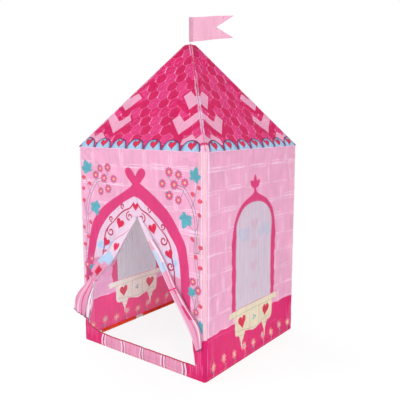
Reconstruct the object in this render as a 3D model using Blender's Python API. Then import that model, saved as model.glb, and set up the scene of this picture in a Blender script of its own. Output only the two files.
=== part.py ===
"""Castle play tent: a printed fabric cover over a push-together frame of plastic poles.

Metres, +Z up. The door faces -Y. Every piece hangs from one empty, which puts the
origin on the floor under the middle of the tent's outer box.
"""

import math

import bmesh
import bpy
from mathutils import Matrix, Vector

# Whole tent
PLAN_SIZE = 0.80
EAVE_HEIGHT = 1.02
ROOF_HEIGHT = 1.526
ROOF_TOP_WIDTH = 0.038

# Cover
CLOTH = 0.0015
SEAM_GAP = 0.0003
HEM_LIFT = 0.003
CORNER_STEPS = 6

# Poles
POLE_RADIUS = 0.008
POLE_BORE_RADIUS = 0.0064
POLE_SIDES = 12
SEAT_GAP = 0.0003
FACET_PHASE = 0.25

# Moulded sockets
SOCKET_FIT = 0.0003
SOCKET_WALL = 0.0027
COLLAR_RISE = 0.001
COLLAR_LENGTH = 0.006
SOCKET_DEPTH = 0.032
SOCKET_SEAT = 0.020
SOCKET_SIDES = 16
GUSSET_REACH = 0.036
GUSSET_THICKNESS = 0.003
BORE_OVERRUN = 0.004

# Feet of the base corners
FOOT_RADIUS = 0.0115
FOOT_DEPTH = 0.002
FOOT_CHAMFER = 0.001

# Joiners half way up the uprights
JOINER_LENGTH = 0.070
JOINER_STOP_LENGTH = 0.003
JOINER_STOP_RADIUS = 0.0066

# Apex hub
APEX_SEAT = 0.026
CORE_RADIUS = 0.014
CORE_DEPTH = 0.062
CORE_TAPER = 0.004
HUB_GUSSET_REACH = 0.050
HUB_TRIM_SIZE = 0.060

# Flag and its pole
FLAG_FOOT_GAP = 0.016
FLAG_HOIST = 0.119
FLAG_LENGTH = 0.221
FLAG_TIP_HEIGHT = 0.106
FLAG_NOTCH_DEPTH = 0.086
FLAG_CLOTH = 0.0012
FLAG_WAVE = 0.004
FLAG_WAVE_COUNT = 1.25
FLAG_BEARING = 25.0
FLAG_COLUMNS = 16
FLAG_ROWS = 6
FLAG_POLE_RADIUS = 0.0045
FLAG_POLE_BORE_RADIUS = 0.003
FLAG_SOCKET_DEPTH = 0.036
FLAG_SLEEVE_FIT = 0.0004

# Windows in the left and right walls
WINDOW_WIDTH = 0.318
WINDOW_SILL = 0.265
WINDOW_SPRING = 0.655
WINDOW_TOP = 0.768
WINDOW_STEPS = 20
NET_THICKNESS = 0.0009

# Doorway in the front wall
DOOR_TOP = 0.708
SILL_END_HEIGHT = 0.100
SILL_HEIGHT = 0.066
SILL_CURVE_WIDTH = 0.120
SILL_CURVE_STEPS = 6
DOOR_LEFT_BORDER = 0.014
DOOR_RIGHT_FOOT_BORDER = 0.041
DOOR_RIGHT_BEND_BORDER = 0.068
DOOR_LEFT_TURN_HEIGHT = 0.445
CREASE_CLEARANCE = 0.002

# Door flaps
FLAP_CLOTH = 0.0012
FLAP_SECTIONS = 24
FLAP_FOLDS = 4
FLAP_COLUMNS = 20
FLAP_STAND_OFF = 0.034
FLAP_FOLD_DEPTH = 0.027
STRIP_FOLDS = 2
STRIP_COLUMNS = 12
STRIP_STAND_OFF = 0.0026
STRIP_FOLD_DEPTH = 0.012

# Ties round the flaps
TIE_CLOTH = 0.0012
TIE_WIDTH = 0.008
TIE_EASE = 0.0008
TIE_CORNER_RADIUS = 0.001
TIE_CORNER_STEPS = 3

# Loops that tie the cover to the uprights
LOOP_HEIGHT = 0.34
LOOP_WIDTH = 0.022
LOOP_CLOTH = 0.0012
LOOP_TAB_WIDTH = 0.014

# Shares of the door's half width, its height, the stand-off and the fold depth, from the slit's
# top down: inner edge x and z, outer edge x and z, stand-off, fold
LEFT_FLAP_SHARES = (
    (0.000, 0.985, 0.055, 1.000, 0.00, 0.05),
    (0.175, 0.855, 0.285, 0.885, 0.00, 0.16),
    (0.345, 0.720, 0.475, 0.760, 0.00, 0.28),
    (0.480, 0.625, 0.655, 0.668, 0.02, 0.40),
    (0.620, 0.550, 0.790, 0.585, 0.09, 0.46),
    (0.728, 0.500, 0.842, 0.522, 0.14, 0.46),
    (0.745, 0.475, 0.858, 0.497, 0.16, 0.46),
    (0.775, 0.405, 0.925, 0.435, 0.45, 0.62),
    (0.815, 0.300, 0.985, 0.350, 0.78, 0.85),
    (0.850, 0.205, 1.015, 0.255, 1.00, 1.00),
)
LEFT_TIE_SHARE = 0.6111
LEFT_TURN_STATION = 4
RIGHT_FLAP_SHARES = (
    (0.020, 0.988, 0.050, 1.000, 0.00, 0.10),
    (0.172, 0.860, 0.238, 0.880, 0.00, 0.55),
    (0.345, 0.722, 0.430, 0.748, 0.30, 0.80),
    (0.520, 0.568, 0.604, 0.592, 1.00, 0.80),
    (0.548, 0.545, 0.632, 0.569, 1.00, 0.80),
    (0.690, 0.430, 0.795, 0.462, 0.40, 1.00),
    (0.835, 0.312, 0.965, 0.352, 0.40, 1.00),
    (0.938, 0.201, 0.995, 0.222, 0.80, 0.90),
)
RIGHT_TIE_SHARE = 0.5

# Sizes that follow from the ones above
SLEEVE_RADIUS = POLE_RADIUS + SOCKET_FIT + SOCKET_WALL
COLLAR_RADIUS = SLEEVE_RADIUS + COLLAR_RISE
BORE_RADIUS = POLE_RADIUS + SOCKET_FIT
FRAME_INSET = COLLAR_RADIUS + SEAM_GAP + CLOTH
HALF_PLAN = PLAN_SIZE / 2
FRAME_HALF = HALF_PLAN - FRAME_INSET
BASE_AXIS_HEIGHT = COLLAR_RADIUS + FOOT_DEPTH
HALF_ROOF_TOP = ROOF_TOP_WIDTH / 2
ROOF_SLOPE = (ROOF_HEIGHT - EAVE_HEIGHT) / (HALF_PLAN - HALF_ROOF_TOP)
ROOF_SINE = ROOF_SLOPE / math.hypot(1, ROOF_SLOPE)
ROOF_COSINE = 1 / math.hypot(1, ROOF_SLOPE)
ROOF_CLOTH_RUN = CLOTH / ROOF_SINE
EAVE_AXIS_HEIGHT = EAVE_HEIGHT - FRAME_INSET * (1 - ROOF_SINE) / ROOF_COSINE
HIP_MEET_HEIGHT = EAVE_AXIS_HEIGHT + FRAME_HALF * ROOF_SLOPE
HUB_TOP = ROOF_HEIGHT - CLOTH - SEAM_GAP
FLAG_TOP = ROOF_HEIGHT + FLAG_FOOT_GAP + FLAG_HOIST
DOOR_HALF_WIDTH = FRAME_HALF
FLAP_REACH = SEAM_GAP + FLAP_CLOTH + FLAP_STAND_OFF + FLAP_FOLD_DEPTH
SMOOTH_ANGLE = math.radians(35)
QUARTER_TURN = math.pi / 2
SIDES = {"front": 0, "right": 1, "back": 2, "left": 3}
CORNERS = {"front_right": 0, "back_right": 1, "back_left": 2, "front_left": 3}


def clear_scene():
    """Empty the scene of objects."""
    for thing in list(bpy.data.objects):
        bpy.data.objects.remove(thing, do_unlink=True)


def finish(name, colour, roughness):
    """Make a plain plastic or fabric material."""
    material = bpy.data.materials.new(name)
    material.use_nodes = True
    shader = material.node_tree.nodes["Principled BSDF"]
    shader.inputs["Base Color"].default_value = (*colour, 1.0)
    shader.inputs["Roughness"].default_value = roughness
    material.diffuse_color = (*colour, 1.0)
    return material


def make_finishes():
    """Make every material of the tent, with colours as linear values."""
    return {
        "wall": finish("wall_cloth", (0.89, 0.42, 0.62), 0.8),
        "roof": finish("roof_cloth", (0.72, 0.06, 0.22), 0.8),
        "flap": finish("flap_cloth", (0.87, 0.50, 0.66), 0.8),
        "flag": finish("flag_cloth", (0.90, 0.44, 0.60), 0.8),
        "net": finish("window_net", (0.66, 0.58, 0.70), 0.7),
        "tape": finish("tie_tape", (0.78, 0.12, 0.30), 0.8),
        "pole": finish("pole_plastic", (0.80, 0.82, 0.82), 0.4),
        "connector": finish("connector_plastic", (0.85, 0.85, 0.85), 0.45),
    }


def new_piece(name, mesh, material, tent, turn=0.0, at=(0.0, 0.0, 0.0)):
    """Link a mesh into the scene as one named piece of the tent."""
    if not mesh.materials:
        mesh.materials.append(material)
    mesh.shade_smooth()
    mesh.set_sharp_from_angle(angle=SMOOTH_ANGLE)
    piece = bpy.data.objects.new(name, mesh)
    piece.location = at
    piece.rotation_euler = (0.0, 0.0, turn)
    piece.parent = tent
    bpy.context.scene.collection.objects.link(piece)
    return piece


def mesh_from(shape, name):
    """Turn a bmesh into a mesh whose faces point out."""
    bmesh.ops.recalc_face_normals(shape, faces=shape.faces)
    mesh = bpy.data.meshes.new(name)
    shape.to_mesh(mesh)
    shape.free()
    return mesh


def lathe(name, profile, sides, place=Matrix(), hollow=False):
    """Turn a profile of (radius, height) about local Z: capped, or closed on itself if hollow."""
    shape = bmesh.new()
    rings = []
    for radius, height in profile:
        ring = []
        for side in range(sides):
            angle = (side + FACET_PHASE) * 2 * math.pi / sides
            point = Vector((radius * math.cos(angle), radius * math.sin(angle), height))
            ring.append(shape.verts.new(place @ point))
        rings.append(ring)
    pairs = list(zip(rings, rings[1:]))
    if hollow:
        pairs.append((rings[-1], rings[0]))
    else:
        shape.faces.new(list(reversed(rings[0])))
        shape.faces.new(rings[-1])
    for low, high in pairs:
        for side in range(sides):
            after = (side + 1) % sides
            shape.faces.new((low[side], low[after], high[after], high[side]))
    return mesh_from(shape, name)


def plate(name, outline, depth, holes=(), place=Matrix()):
    """Raise a flat outline in the XZ plane, with any holes, to a thickness along +Y."""
    shape = bmesh.new()
    edges = []
    for loop in (outline, *holes):
        corners = [shape.verts.new((x, 0.0, z)) for x, z in loop]
        for here, after in zip(corners, corners[1:] + corners[:1]):
            edges.append(shape.edges.new((here, after)))
    bmesh.ops.triangle_fill(shape, use_beauty=True, use_dissolve=False, edges=edges)
    raised = bmesh.ops.extrude_face_region(shape, geom=list(shape.faces), use_keep_orig=True)
    moved = [item for item in raised["geom"] if isinstance(item, bmesh.types.BMVert)]
    bmesh.ops.translate(shape, vec=(0.0, depth, 0.0), verts=moved)
    bmesh.ops.transform(shape, matrix=place, verts=shape.verts)
    return mesh_from(shape, name)


def loft(name, rings):
    """Join rings of equal count, each a pair of front and back rows, into one closed sheet."""
    shape = bmesh.new()
    loops = []
    for front, back in rings:
        points = list(front) + list(reversed(back))
        loops.append([shape.verts.new(point) for point in points])
    count = len(loops[0])
    for upper, lower in zip(loops, loops[1:]):
        for index in range(count):
            after = (index + 1) % count
            shape.faces.new((upper[index], upper[after], lower[after], lower[index]))
    for loop in (loops[0], loops[-1]):
        for index in range(count // 2 - 1):
            mirror = count - 1 - index
            shape.faces.new((loop[index], loop[index + 1], loop[mirror - 1], loop[mirror]))
    return mesh_from(shape, name)


def combined(base, tool, operation):
    """Return the mesh of base joined with, or cut by, another mesh."""
    scene = bpy.context.scene
    holder = bpy.data.objects.new("holder", base)
    helper = bpy.data.objects.new("helper", tool)
    scene.collection.objects.link(holder)
    scene.collection.objects.link(helper)
    step = holder.modifiers.new("combine", "BOOLEAN")
    step.operation = operation
    step.solver = "EXACT"
    step.object = helper
    bpy.context.view_layer.update()
    graph = bpy.context.evaluated_depsgraph_get()
    result = bpy.data.meshes.new_from_object(holder.evaluated_get(graph))
    result.name = base.name
    for thing in (holder, helper):
        bpy.data.objects.remove(thing, do_unlink=True)
    return result


def built_up(base, joined, cut):
    """Join meshes to a base, then cut others out of it."""
    for tool in joined:
        base = combined(base, tool, "UNION")
    for tool in cut:
        base = combined(base, tool, "DIFFERENCE")
    return base


def along(direction, start=Vector((0.0, 0.0, 0.0))):
    """The placement that turns local +Z to a direction, at a starting point."""
    turn = Vector((0.0, 0.0, 1.0)).rotation_difference(Vector(direction))
    return Matrix.Translation(start) @ turn.to_matrix().to_4x4()


def hip_direction():
    """The way a hip pole rises from the front right eave corner to the peak."""
    return Vector((-FRAME_HALF, FRAME_HALF, FRAME_HALF * ROOF_SLOPE)).normalized()


def eave_corner_point():
    """Where the pole axes meet at the front right eave corner."""
    return Vector((FRAME_HALF, -FRAME_HALF, EAVE_AXIS_HEIGHT))


def sleeve(direction, centre, seat):
    """The outside of one socket, from the middle of its hub to the collar round its mouth."""
    mouth = seat + SOCKET_DEPTH
    profile = (
        (SLEEVE_RADIUS, 0.0),
        (SLEEVE_RADIUS, mouth - COLLAR_LENGTH - COLLAR_RISE),
        (COLLAR_RADIUS, mouth - COLLAR_LENGTH),
        (COLLAR_RADIUS, mouth),
    )
    return lathe("sleeve", profile, SOCKET_SIDES, along(direction, centre))


def bore(direction, centre, seat):
    """The round hole of one socket, from its seat out past its mouth."""
    profile = ((BORE_RADIUS, seat), (BORE_RADIUS, seat + SOCKET_DEPTH + BORE_OVERRUN))
    return lathe("bore", profile, SOCKET_SIDES, along(direction, centre))


def ball(centre):
    """The rounded middle of a corner connector."""
    phase = FACET_PHASE * 2 * math.pi / SOCKET_SIDES
    shape = bmesh.new()
    bmesh.ops.create_uvsphere(
        shape,
        u_segments=SOCKET_SIDES,
        v_segments=SOCKET_SIDES // 2,
        radius=COLLAR_RADIUS,
        matrix=Matrix.Translation(centre) @ Matrix.Rotation(phase, 4, "Z"),
    )
    return mesh_from(shape, "ball")


def gusset(first, second, centre, reach):
    """A three-cornered web in the angle between two sockets."""
    first = Vector(first).normalized()
    second = Vector(second).normalized()
    side = first.cross(second).normalized() * GUSSET_THICKNESS / 2
    corners = (centre, centre + first * reach, centre + second * reach)
    shape = bmesh.new()
    near = [shape.verts.new(corner - side) for corner in corners]
    far = [shape.verts.new(corner + side) for corner in corners]
    shape.faces.new(list(reversed(near)))
    shape.faces.new(far)
    for index in range(len(corners)):
        after = (index + 1) % len(corners)
        shape.faces.new((near[index], near[after], far[after], far[index]))
    return mesh_from(shape, "gusset")


def base_corner_mesh():
    """Three-way moulded corner with a flat foot, made for the front right corner."""
    centre = Vector((FRAME_HALF, -FRAME_HALF, BASE_AXIS_HEIGHT))
    ways = (Vector((-1, 0, 0)), Vector((0, 1, 0)), Vector((0, 0, 1)))
    foot_profile = (
        (FOOT_RADIUS - FOOT_CHAMFER, -BASE_AXIS_HEIGHT),
        (FOOT_RADIUS, FOOT_CHAMFER - BASE_AXIS_HEIGHT),
        (FOOT_RADIUS, 0.0),
    )
    foot = lathe("foot", foot_profile, SOCKET_SIDES, Matrix.Translation(centre))
    joined = [foot] + [sleeve(way, centre, SOCKET_SEAT) for way in ways]
    for first, second in ((0, 1), (1, 2), (2, 0)):
        joined.append(gusset(ways[first], ways[second], centre, GUSSET_REACH))
    return built_up(ball(centre), joined, [bore(way, centre, SOCKET_SEAT) for way in ways])


def eave_corner_mesh():
    """Four-way moulded corner at the eave, made for the front right corner."""
    centre = eave_corner_point()
    ways = (Vector((-1, 0, 0)), Vector((0, 1, 0)), Vector((0, 0, -1)), hip_direction())
    joined = [sleeve(way, centre, SOCKET_SEAT) for way in ways]
    for first, second in ((0, 1), (1, 2), (2, 0)):
        joined.append(gusset(ways[first], ways[second], centre, GUSSET_REACH))
    return built_up(ball(centre), joined, [bore(way, centre, SOCKET_SEAT) for way in ways])


def apex_hub_mesh():
    """Hub at the peak: four sloping sockets, an upright one for the flag pole, and a web under each."""
    meeting = Vector((0.0, 0.0, HIP_MEET_HEIGHT))
    down = Vector((0.0, 0.0, -1.0))
    core_foot = HUB_TOP - CORE_DEPTH
    profile = (
        (CORE_RADIUS - CORE_TAPER, core_foot),
        (CORE_RADIUS, core_foot + CORE_TAPER),
        (CORE_RADIUS, HUB_TOP),
    )
    ways = []
    for corner in range(len(CORNERS)):
        ways.append(Matrix.Rotation(corner * QUARTER_TURN, 3, "Z") @ -hip_direction())
    joined = []
    for way in ways:
        joined.append(sleeve(way, meeting, APEX_SEAT))
        joined.append(gusset(way, down, meeting, HUB_GUSSET_REACH))
    trim_profile = ((HUB_TRIM_SIZE, HUB_TOP), (HUB_TRIM_SIZE, HUB_TOP + HUB_TRIM_SIZE))
    flag_bore = (
        (FLAG_POLE_RADIUS + SOCKET_FIT, HUB_TOP - FLAG_SOCKET_DEPTH),
        (FLAG_POLE_RADIUS + SOCKET_FIT, HUB_TOP + BORE_OVERRUN),
    )
    cut = [lathe("trim", trim_profile, SOCKET_SIDES)]
    cut.extend(bore(way, meeting, APEX_SEAT) for way in ways)
    cut.append(lathe("flag_bore", flag_bore, SOCKET_SIDES))
    return built_up(lathe("core", profile, SOCKET_SIDES), joined, cut)


def tube_mesh(name, start, end, radius, inner):
    """A hollow pole between two points."""
    length = (end - start).length
    profile = ((radius, 0.0), (radius, length), (inner, length), (inner, 0.0))
    return lathe(name, profile, POLE_SIDES, along((end - start).normalized(), start), hollow=True)


def pole_between(name, start, end, start_seat, end_seat):
    """A pole that fills the sockets at both ends, short of each seat by the seat gap."""
    way = (end - start).normalized()
    first = start + way * (start_seat + SEAT_GAP)
    last = end - way * (end_seat + SEAT_GAP)
    return tube_mesh(name, first, last, POLE_RADIUS, POLE_BORE_RADIUS)


def joiner_mesh(centre):
    """A short sleeve with a stop ring inside, which joins two lengths of upright."""
    half = JOINER_LENGTH / 2
    stop = JOINER_STOP_LENGTH / 2
    profile = (
        (SLEEVE_RADIUS - COLLAR_RISE, -half),
        (SLEEVE_RADIUS, COLLAR_RISE - half),
        (SLEEVE_RADIUS, half - COLLAR_RISE),
        (SLEEVE_RADIUS - COLLAR_RISE, half),
        (BORE_RADIUS, half),
        (BORE_RADIUS, stop),
        (JOINER_STOP_RADIUS, stop),
        (JOINER_STOP_RADIUS, -stop),
        (BORE_RADIUS, -stop),
        (BORE_RADIUS, -half),
    )
    return lathe("upright_joiner", profile, SOCKET_SIDES, Matrix.Translation(centre), hollow=True)


def add_frame(finishes, tent):
    """Corner connectors, poles, joiners and the hub at the peak."""
    base = Vector((FRAME_HALF, -FRAME_HALF, BASE_AXIS_HEIGHT))
    eave = eave_corner_point()
    meeting = Vector((0.0, 0.0, HIP_MEET_HEIGHT))
    middle = (base + eave) / 2
    half_stop = Vector((0.0, 0.0, JOINER_STOP_LENGTH / 2))
    left = Vector((-1.0, 1.0, 1.0))
    corner_meshes = {
        "base_corner": base_corner_mesh(),
        "eave_corner": eave_corner_mesh(),
        "upright_joiner": joiner_mesh(middle),
    }
    pole_meshes = {
        "upright_lower": pole_between("upright_lower", base, middle - half_stop, SOCKET_SEAT, 0.0),
        "upright_upper": pole_between("upright_upper", middle + half_stop, eave, 0.0, SOCKET_SEAT),
        "hip_pole": pole_between("hip_pole", eave, meeting, SOCKET_SEAT, APEX_SEAT),
    }
    rail_meshes = {
        "base_pole": pole_between("base_pole", base * left, base, SOCKET_SEAT, SOCKET_SEAT),
        "eave_pole": pole_between("eave_pole", eave * left, eave, SOCKET_SEAT, SOCKET_SEAT),
    }
    for corner, quarter in CORNERS.items():
        turn = quarter * QUARTER_TURN
        for kind, mesh in corner_meshes.items():
            new_piece(f"{kind}_{corner}", mesh, finishes["connector"], tent, turn)
        for kind, mesh in pole_meshes.items():
            new_piece(f"{kind}_{corner}", mesh, finishes["pole"], tent, turn)
    for side, quarter in SIDES.items():
        for kind, mesh in rail_meshes.items():
            new_piece(f"{kind}_{side}", mesh, finishes["pole"], tent, quarter * QUARTER_TURN)
    new_piece("apex_hub", apex_hub_mesh(), finishes["connector"], tent)


def wall_outline():
    """The rectangle of one wall, between its two corner strips."""
    half = FRAME_HALF - SEAM_GAP
    low = HEM_LIFT
    high = EAVE_HEIGHT - SEAM_GAP
    return [(-half, low), (half, low), (half, high), (-half, high)]


def window_outline(inset):
    """A window with upright sides and a rounded head, drawn in by an inset."""
    half = WINDOW_WIDTH / 2 - inset
    rise = WINDOW_TOP - inset - WINDOW_SPRING
    points = [(-half, WINDOW_SILL + inset), (half, WINDOW_SILL + inset)]
    for step in range(WINDOW_STEPS + 1):
        angle = math.pi * step / WINDOW_STEPS
        points.append((half * math.cos(angle), WINDOW_SPRING + rise * math.sin(angle)))
    return points


def crease_direction(side):
    """The way a flap's crease runs down from the slit's top, to the left (-1) or right (1)."""
    return Vector((side * DOOR_HALF_WIDTH, 0.0, SILL_END_HEIGHT - DOOR_TOP)).normalized()


def crease_x(height):
    """How far the creases are from the middle of the door at a height."""
    return DOOR_HALF_WIDTH * (DOOR_TOP - height) / (DOOR_TOP - SILL_END_HEIGHT)


def door_outline():
    """The open doorway: a pointed top, a left side behind the drawn-back flap, and the sill."""
    slope = crease_direction(1)
    ease = CREASE_CLEARANCE / abs(slope.z)
    peak = DOOR_TOP + CREASE_CLEARANCE / abs(slope.x)
    bend = FRAME_HALF - DOOR_RIGHT_BEND_BORDER
    bend_height = DOOR_TOP - (bend - ease) * (DOOR_TOP - SILL_END_HEIGHT) / DOOR_HALF_WIDTH
    points = [(0.0, peak), (-crease_x(DOOR_LEFT_TURN_HEIGHT) - ease, DOOR_LEFT_TURN_HEIGHT)]
    for place in range(LEFT_TURN_STATION, len(LEFT_FLAP_SHARES)):
        inner, outer, _, _ = flap_station(LEFT_FLAP_SHARES, -1, place)
        middle = (inner + outer) / 2
        points.append((middle.x, middle.z))
    for step in range(SILL_CURVE_STEPS + 1):
        share = step / SILL_CURVE_STEPS
        lift = (SILL_END_HEIGHT - SILL_HEIGHT) * (1 - share) ** 2
        across = DOOR_LEFT_BORDER - FRAME_HALF + SILL_CURVE_WIDTH * share
        points.append((across, SILL_HEIGHT + lift))
    points.append((FRAME_HALF - DOOR_RIGHT_FOOT_BORDER, SILL_HEIGHT))
    points.append((bend, bend_height))
    return points


def corner_strip_mesh():
    """The rounded strip of the cover that wraps the front right upright."""
    centre = Vector((FRAME_HALF, -FRAME_HALF, 0.0))
    levels = (HEM_LIFT, EAVE_HEIGHT - SEAM_GAP)
    arcs = []
    for height in levels:
        ring = []
        for radius in (FRAME_INSET, FRAME_INSET - CLOTH):
            row = []
            for step in range(CORNER_STEPS + 1):
                angle = QUARTER_TURN * (step / CORNER_STEPS - 1)
                across = Vector((math.cos(angle), math.sin(angle), 0.0)) * radius
                row.append(centre + across + Vector((0.0, 0.0, height)))
            ring.append(row)
        arcs.append(ring)
    return loft("corner_strip", arcs)


def roof_panel_mesh():
    """One sloping side of the roof, mitred at the hips, made for the front."""
    shape = bmesh.new()
    rings = []
    for half, height in ((HALF_PLAN, EAVE_HEIGHT), (HALF_ROOF_TOP, ROOF_HEIGHT)):
        outer = half - SEAM_GAP
        inner = half - ROOF_CLOTH_RUN - SEAM_GAP
        corners = (
            (-outer, -half, height),
            (outer, -half, height),
            (inner, ROOF_CLOTH_RUN - half, height),
            (-inner, ROOF_CLOTH_RUN - half, height),
        )
        rings.append([shape.verts.new(corner) for corner in corners])
    low, high = rings
    shape.faces.new(list(reversed(low)))
    shape.faces.new(high)
    for index in range(len(low)):
        after = (index + 1) % len(low)
        shape.faces.new((low[index], low[after], high[after], high[index]))
    return mesh_from(shape, "roof_panel")


def roof_cap_mesh():
    """The small square patch at the peak, with a hole for the flag pole."""
    half = HALF_ROOF_TOP - ROOF_CLOTH_RUN - SEAM_GAP
    hole = []
    for side in range(SOCKET_SIDES):
        angle = 2 * math.pi * side / SOCKET_SIDES
        radius = FLAG_POLE_RADIUS + SOCKET_FIT
        hole.append((radius * math.cos(angle), radius * math.sin(angle)))
    square = [(-half, -half), (half, -half), (half, half), (-half, half)]
    upright = Matrix.Translation((0.0, 0.0, ROOF_HEIGHT - CLOTH)) @ Matrix.Rotation(QUARTER_TURN, 4, "X")
    return plate("roof_cap", square, CLOTH, (hole,), upright)


def loop_mesh():
    """A cloth loop round the front right upright, with the tab that is sewn to the cover."""
    inner = POLE_RADIUS + SEAM_GAP
    outer = inner + LOOP_CLOTH
    centre = Vector((FRAME_HALF, -FRAME_HALF, LOOP_HEIGHT))
    half = LOOP_WIDTH / 2
    profile = ((outer, -half), (outer, half), (inner, half), (inner, -half))
    ring = lathe("corner_loop", profile, SOCKET_SIDES, Matrix.Translation(centre), hollow=True)
    reach = FRAME_INSET - CLOTH - SEAM_GAP - LOOP_CLOTH / 2
    start = (inner + outer) / 2
    wide = LOOP_TAB_WIDTH / 2
    tall = half - LOOP_CLOTH
    outline = [(-wide / 2, -tall), (wide / 2, -tall), (wide / 2, tall), (-wide / 2, tall)]
    place = Matrix.Translation(centre) @ Matrix.Rotation(QUARTER_TURN / 2, 4, "Z")
    tab = plate("tab", outline, reach - start, (), place @ Matrix.Translation((0.0, -reach, 0.0)))
    return combined(ring, tab, "UNION")


def add_cover(finishes, tent):
    """Walls, corner strips, roof, windows and the loops that hold the cover to the frame."""
    front = Matrix.Translation((0.0, -HALF_PLAN, 0.0))
    window = window_outline(0.0)
    walls = {
        "front": plate("wall_front", wall_outline(), CLOTH, (door_outline(),), front),
        "right": plate("wall_window", wall_outline(), CLOTH, (window,), front),
        "back": plate("wall_back", wall_outline(), CLOTH, (), front),
    }
    walls["left"] = walls["right"]
    behind = Matrix.Translation((0.0, (CLOTH - NET_THICKNESS) / 2 - HALF_PLAN, 0.0))
    net = plate("window_net", window_outline(SEAM_GAP), NET_THICKNESS, (), behind)
    roof = roof_panel_mesh()
    strip = corner_strip_mesh()
    loop = loop_mesh()
    for side, quarter in SIDES.items():
        turn = quarter * QUARTER_TURN
        new_piece(f"wall_{side}", walls[side], finishes["wall"], tent, turn)
        new_piece(f"roof_{side}", roof, finishes["roof"], tent, turn)
    for side in ("right", "left"):
        new_piece(f"window_net_{side}", net, finishes["net"], tent, SIDES[side] * QUARTER_TURN)
    for corner, quarter in CORNERS.items():
        turn = quarter * QUARTER_TURN
        new_piece(f"corner_strip_{corner}", strip, finishes["wall"], tent, turn)
        new_piece(f"corner_loop_{corner}", loop, finishes["tape"], tent, turn)
    new_piece("roof_cap", roof_cap_mesh(), finishes["roof"], tent)


def spline_value(values, place):
    """A smooth curve through values that are one apart, read at a place along them."""
    index = min(int(place), len(values) - 2)
    share = place - index
    before = values[max(index - 1, 0)]
    start = values[index]
    end = values[index + 1]
    beyond = values[min(index + 2, len(values) - 1)]
    first = (end - before) / 2
    last = (beyond - start) / 2
    square = share * share
    cube = square * share
    return (
        start * (2 * cube - 3 * square + 1)
        + first * (cube - 2 * square + share)
        + end * (3 * square - 2 * cube)
        + last * (cube - square)
    )


def flap_station(shares, side, place):
    """Edges, stand-off and fold depth of a flap at a place along its table, as shares of sizes."""
    columns = list(zip(*shares))
    inner_x, inner_z, outer_x, outer_z, off, fold = (spline_value(column, place) for column in columns)
    inner = Vector((side * inner_x * DOOR_HALF_WIDTH, 0.0, inner_z * DOOR_TOP))
    outer = Vector((side * outer_x * DOOR_HALF_WIDTH, 0.0, outer_z * DOOR_TOP))
    return inner, outer, off, fold


def flap_line(flap, place):
    """The middle of the cloth across a flap, from its inner to its outer edge, in pleats."""
    inner, outer, off, fold = flap_station(flap["shares"], flap["side"], place)
    back = -HALF_PLAN - SEAM_GAP - FLAP_CLOTH / 2 - off * flap["stand_off"]
    points = []
    for column in range(flap["columns"] + 1):
        across = column / flap["columns"]
        wave = (1 - math.cos(2 * math.pi * flap["folds"] * across)) / 2
        point = inner.lerp(outer, across)
        point.y = back - fold * flap["fold_depth"] * wave
        points.append(point)
    return points


def flap_mesh(name, flap, hinge):
    """A drawn-back door flap as one pleated sheet, measured from its hinge point."""
    columns = flap["columns"]
    lines = []
    for section in range(FLAP_SECTIONS + 1):
        place = (len(flap["shares"]) - 1) * section / FLAP_SECTIONS
        lines.append(flap_line(flap, place))
    rings = []
    for section, line in enumerate(lines):
        above = lines[max(section - 1, 0)]
        below = lines[min(section + 1, FLAP_SECTIONS)]
        front = []
        back = []
        for column, point in enumerate(line):
            across = line[min(column + 1, columns)] - line[max(column - 1, 0)]
            down = below[column] - above[column]
            normal = across.cross(down).normalized() * FLAP_CLOTH / 2
            front.append(point + normal - hinge)
            back.append(point - normal - hinge)
        rings.append((front, back))
    return loft(name, rings)


def tie_mesh(name, flap, hinge):
    """A flat band right round a gathered flap."""
    line = flap_line(flap, (len(flap["shares"]) - 1) * flap["tie_share"])
    inner, outer = line[0], line[-1]
    near = max(point.y for point in line) + FLAP_CLOTH / 2
    far = min(point.y for point in line) - FLAP_CLOTH / 2
    across = Vector((outer.x - inner.x, 0.0, outer.z - inner.z))
    half_width = (across.length + FLAP_CLOTH) / 2 + TIE_EASE - TIE_CORNER_RADIUS
    half_depth = (near - far) / 2 + TIE_EASE - TIE_CORNER_RADIUS
    across.normalize()
    down = Vector((across.z, 0.0, -across.x)) * flap["side"]
    middle = (inner + outer) / 2
    middle.y = (near + far) / 2
    rings = []
    for end in (-1, 1):
        rows = []
        for radius in (TIE_CORNER_RADIUS + TIE_CLOTH, TIE_CORNER_RADIUS):
            row = []
            for quarter, (right, front) in enumerate(((1, 1), (-1, 1), (-1, -1), (1, -1))):
                for step in range(TIE_CORNER_STEPS + 1):
                    angle = QUARTER_TURN * (quarter + step / TIE_CORNER_STEPS)
                    out = right * half_width + radius * math.cos(angle)
                    depth = front * half_depth + radius * math.sin(angle)
                    point = middle + across * out + Vector((0.0, depth, 0.0))
                    row.append(point + down * end * TIE_WIDTH / 2 - hinge)
            rows.append(row)
        rings.append(rows)
    return band(name, rings)


def band(name, rings):
    """Close two pairs of outer and inner loops into one ring of cloth."""
    shape = bmesh.new()
    (low_out, low_in), (high_out, high_in) = rings
    loops = []
    for row in (low_out, high_out, high_in, low_in):
        loops.append([shape.verts.new(point) for point in row])
    for first, second in zip(loops, loops[1:] + loops[:1]):
        for index in range(len(first)):
            after = (index + 1) % len(first)
            shape.faces.new((first[index], first[after], second[after], second[index]))
    return mesh_from(shape, name)


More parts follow.
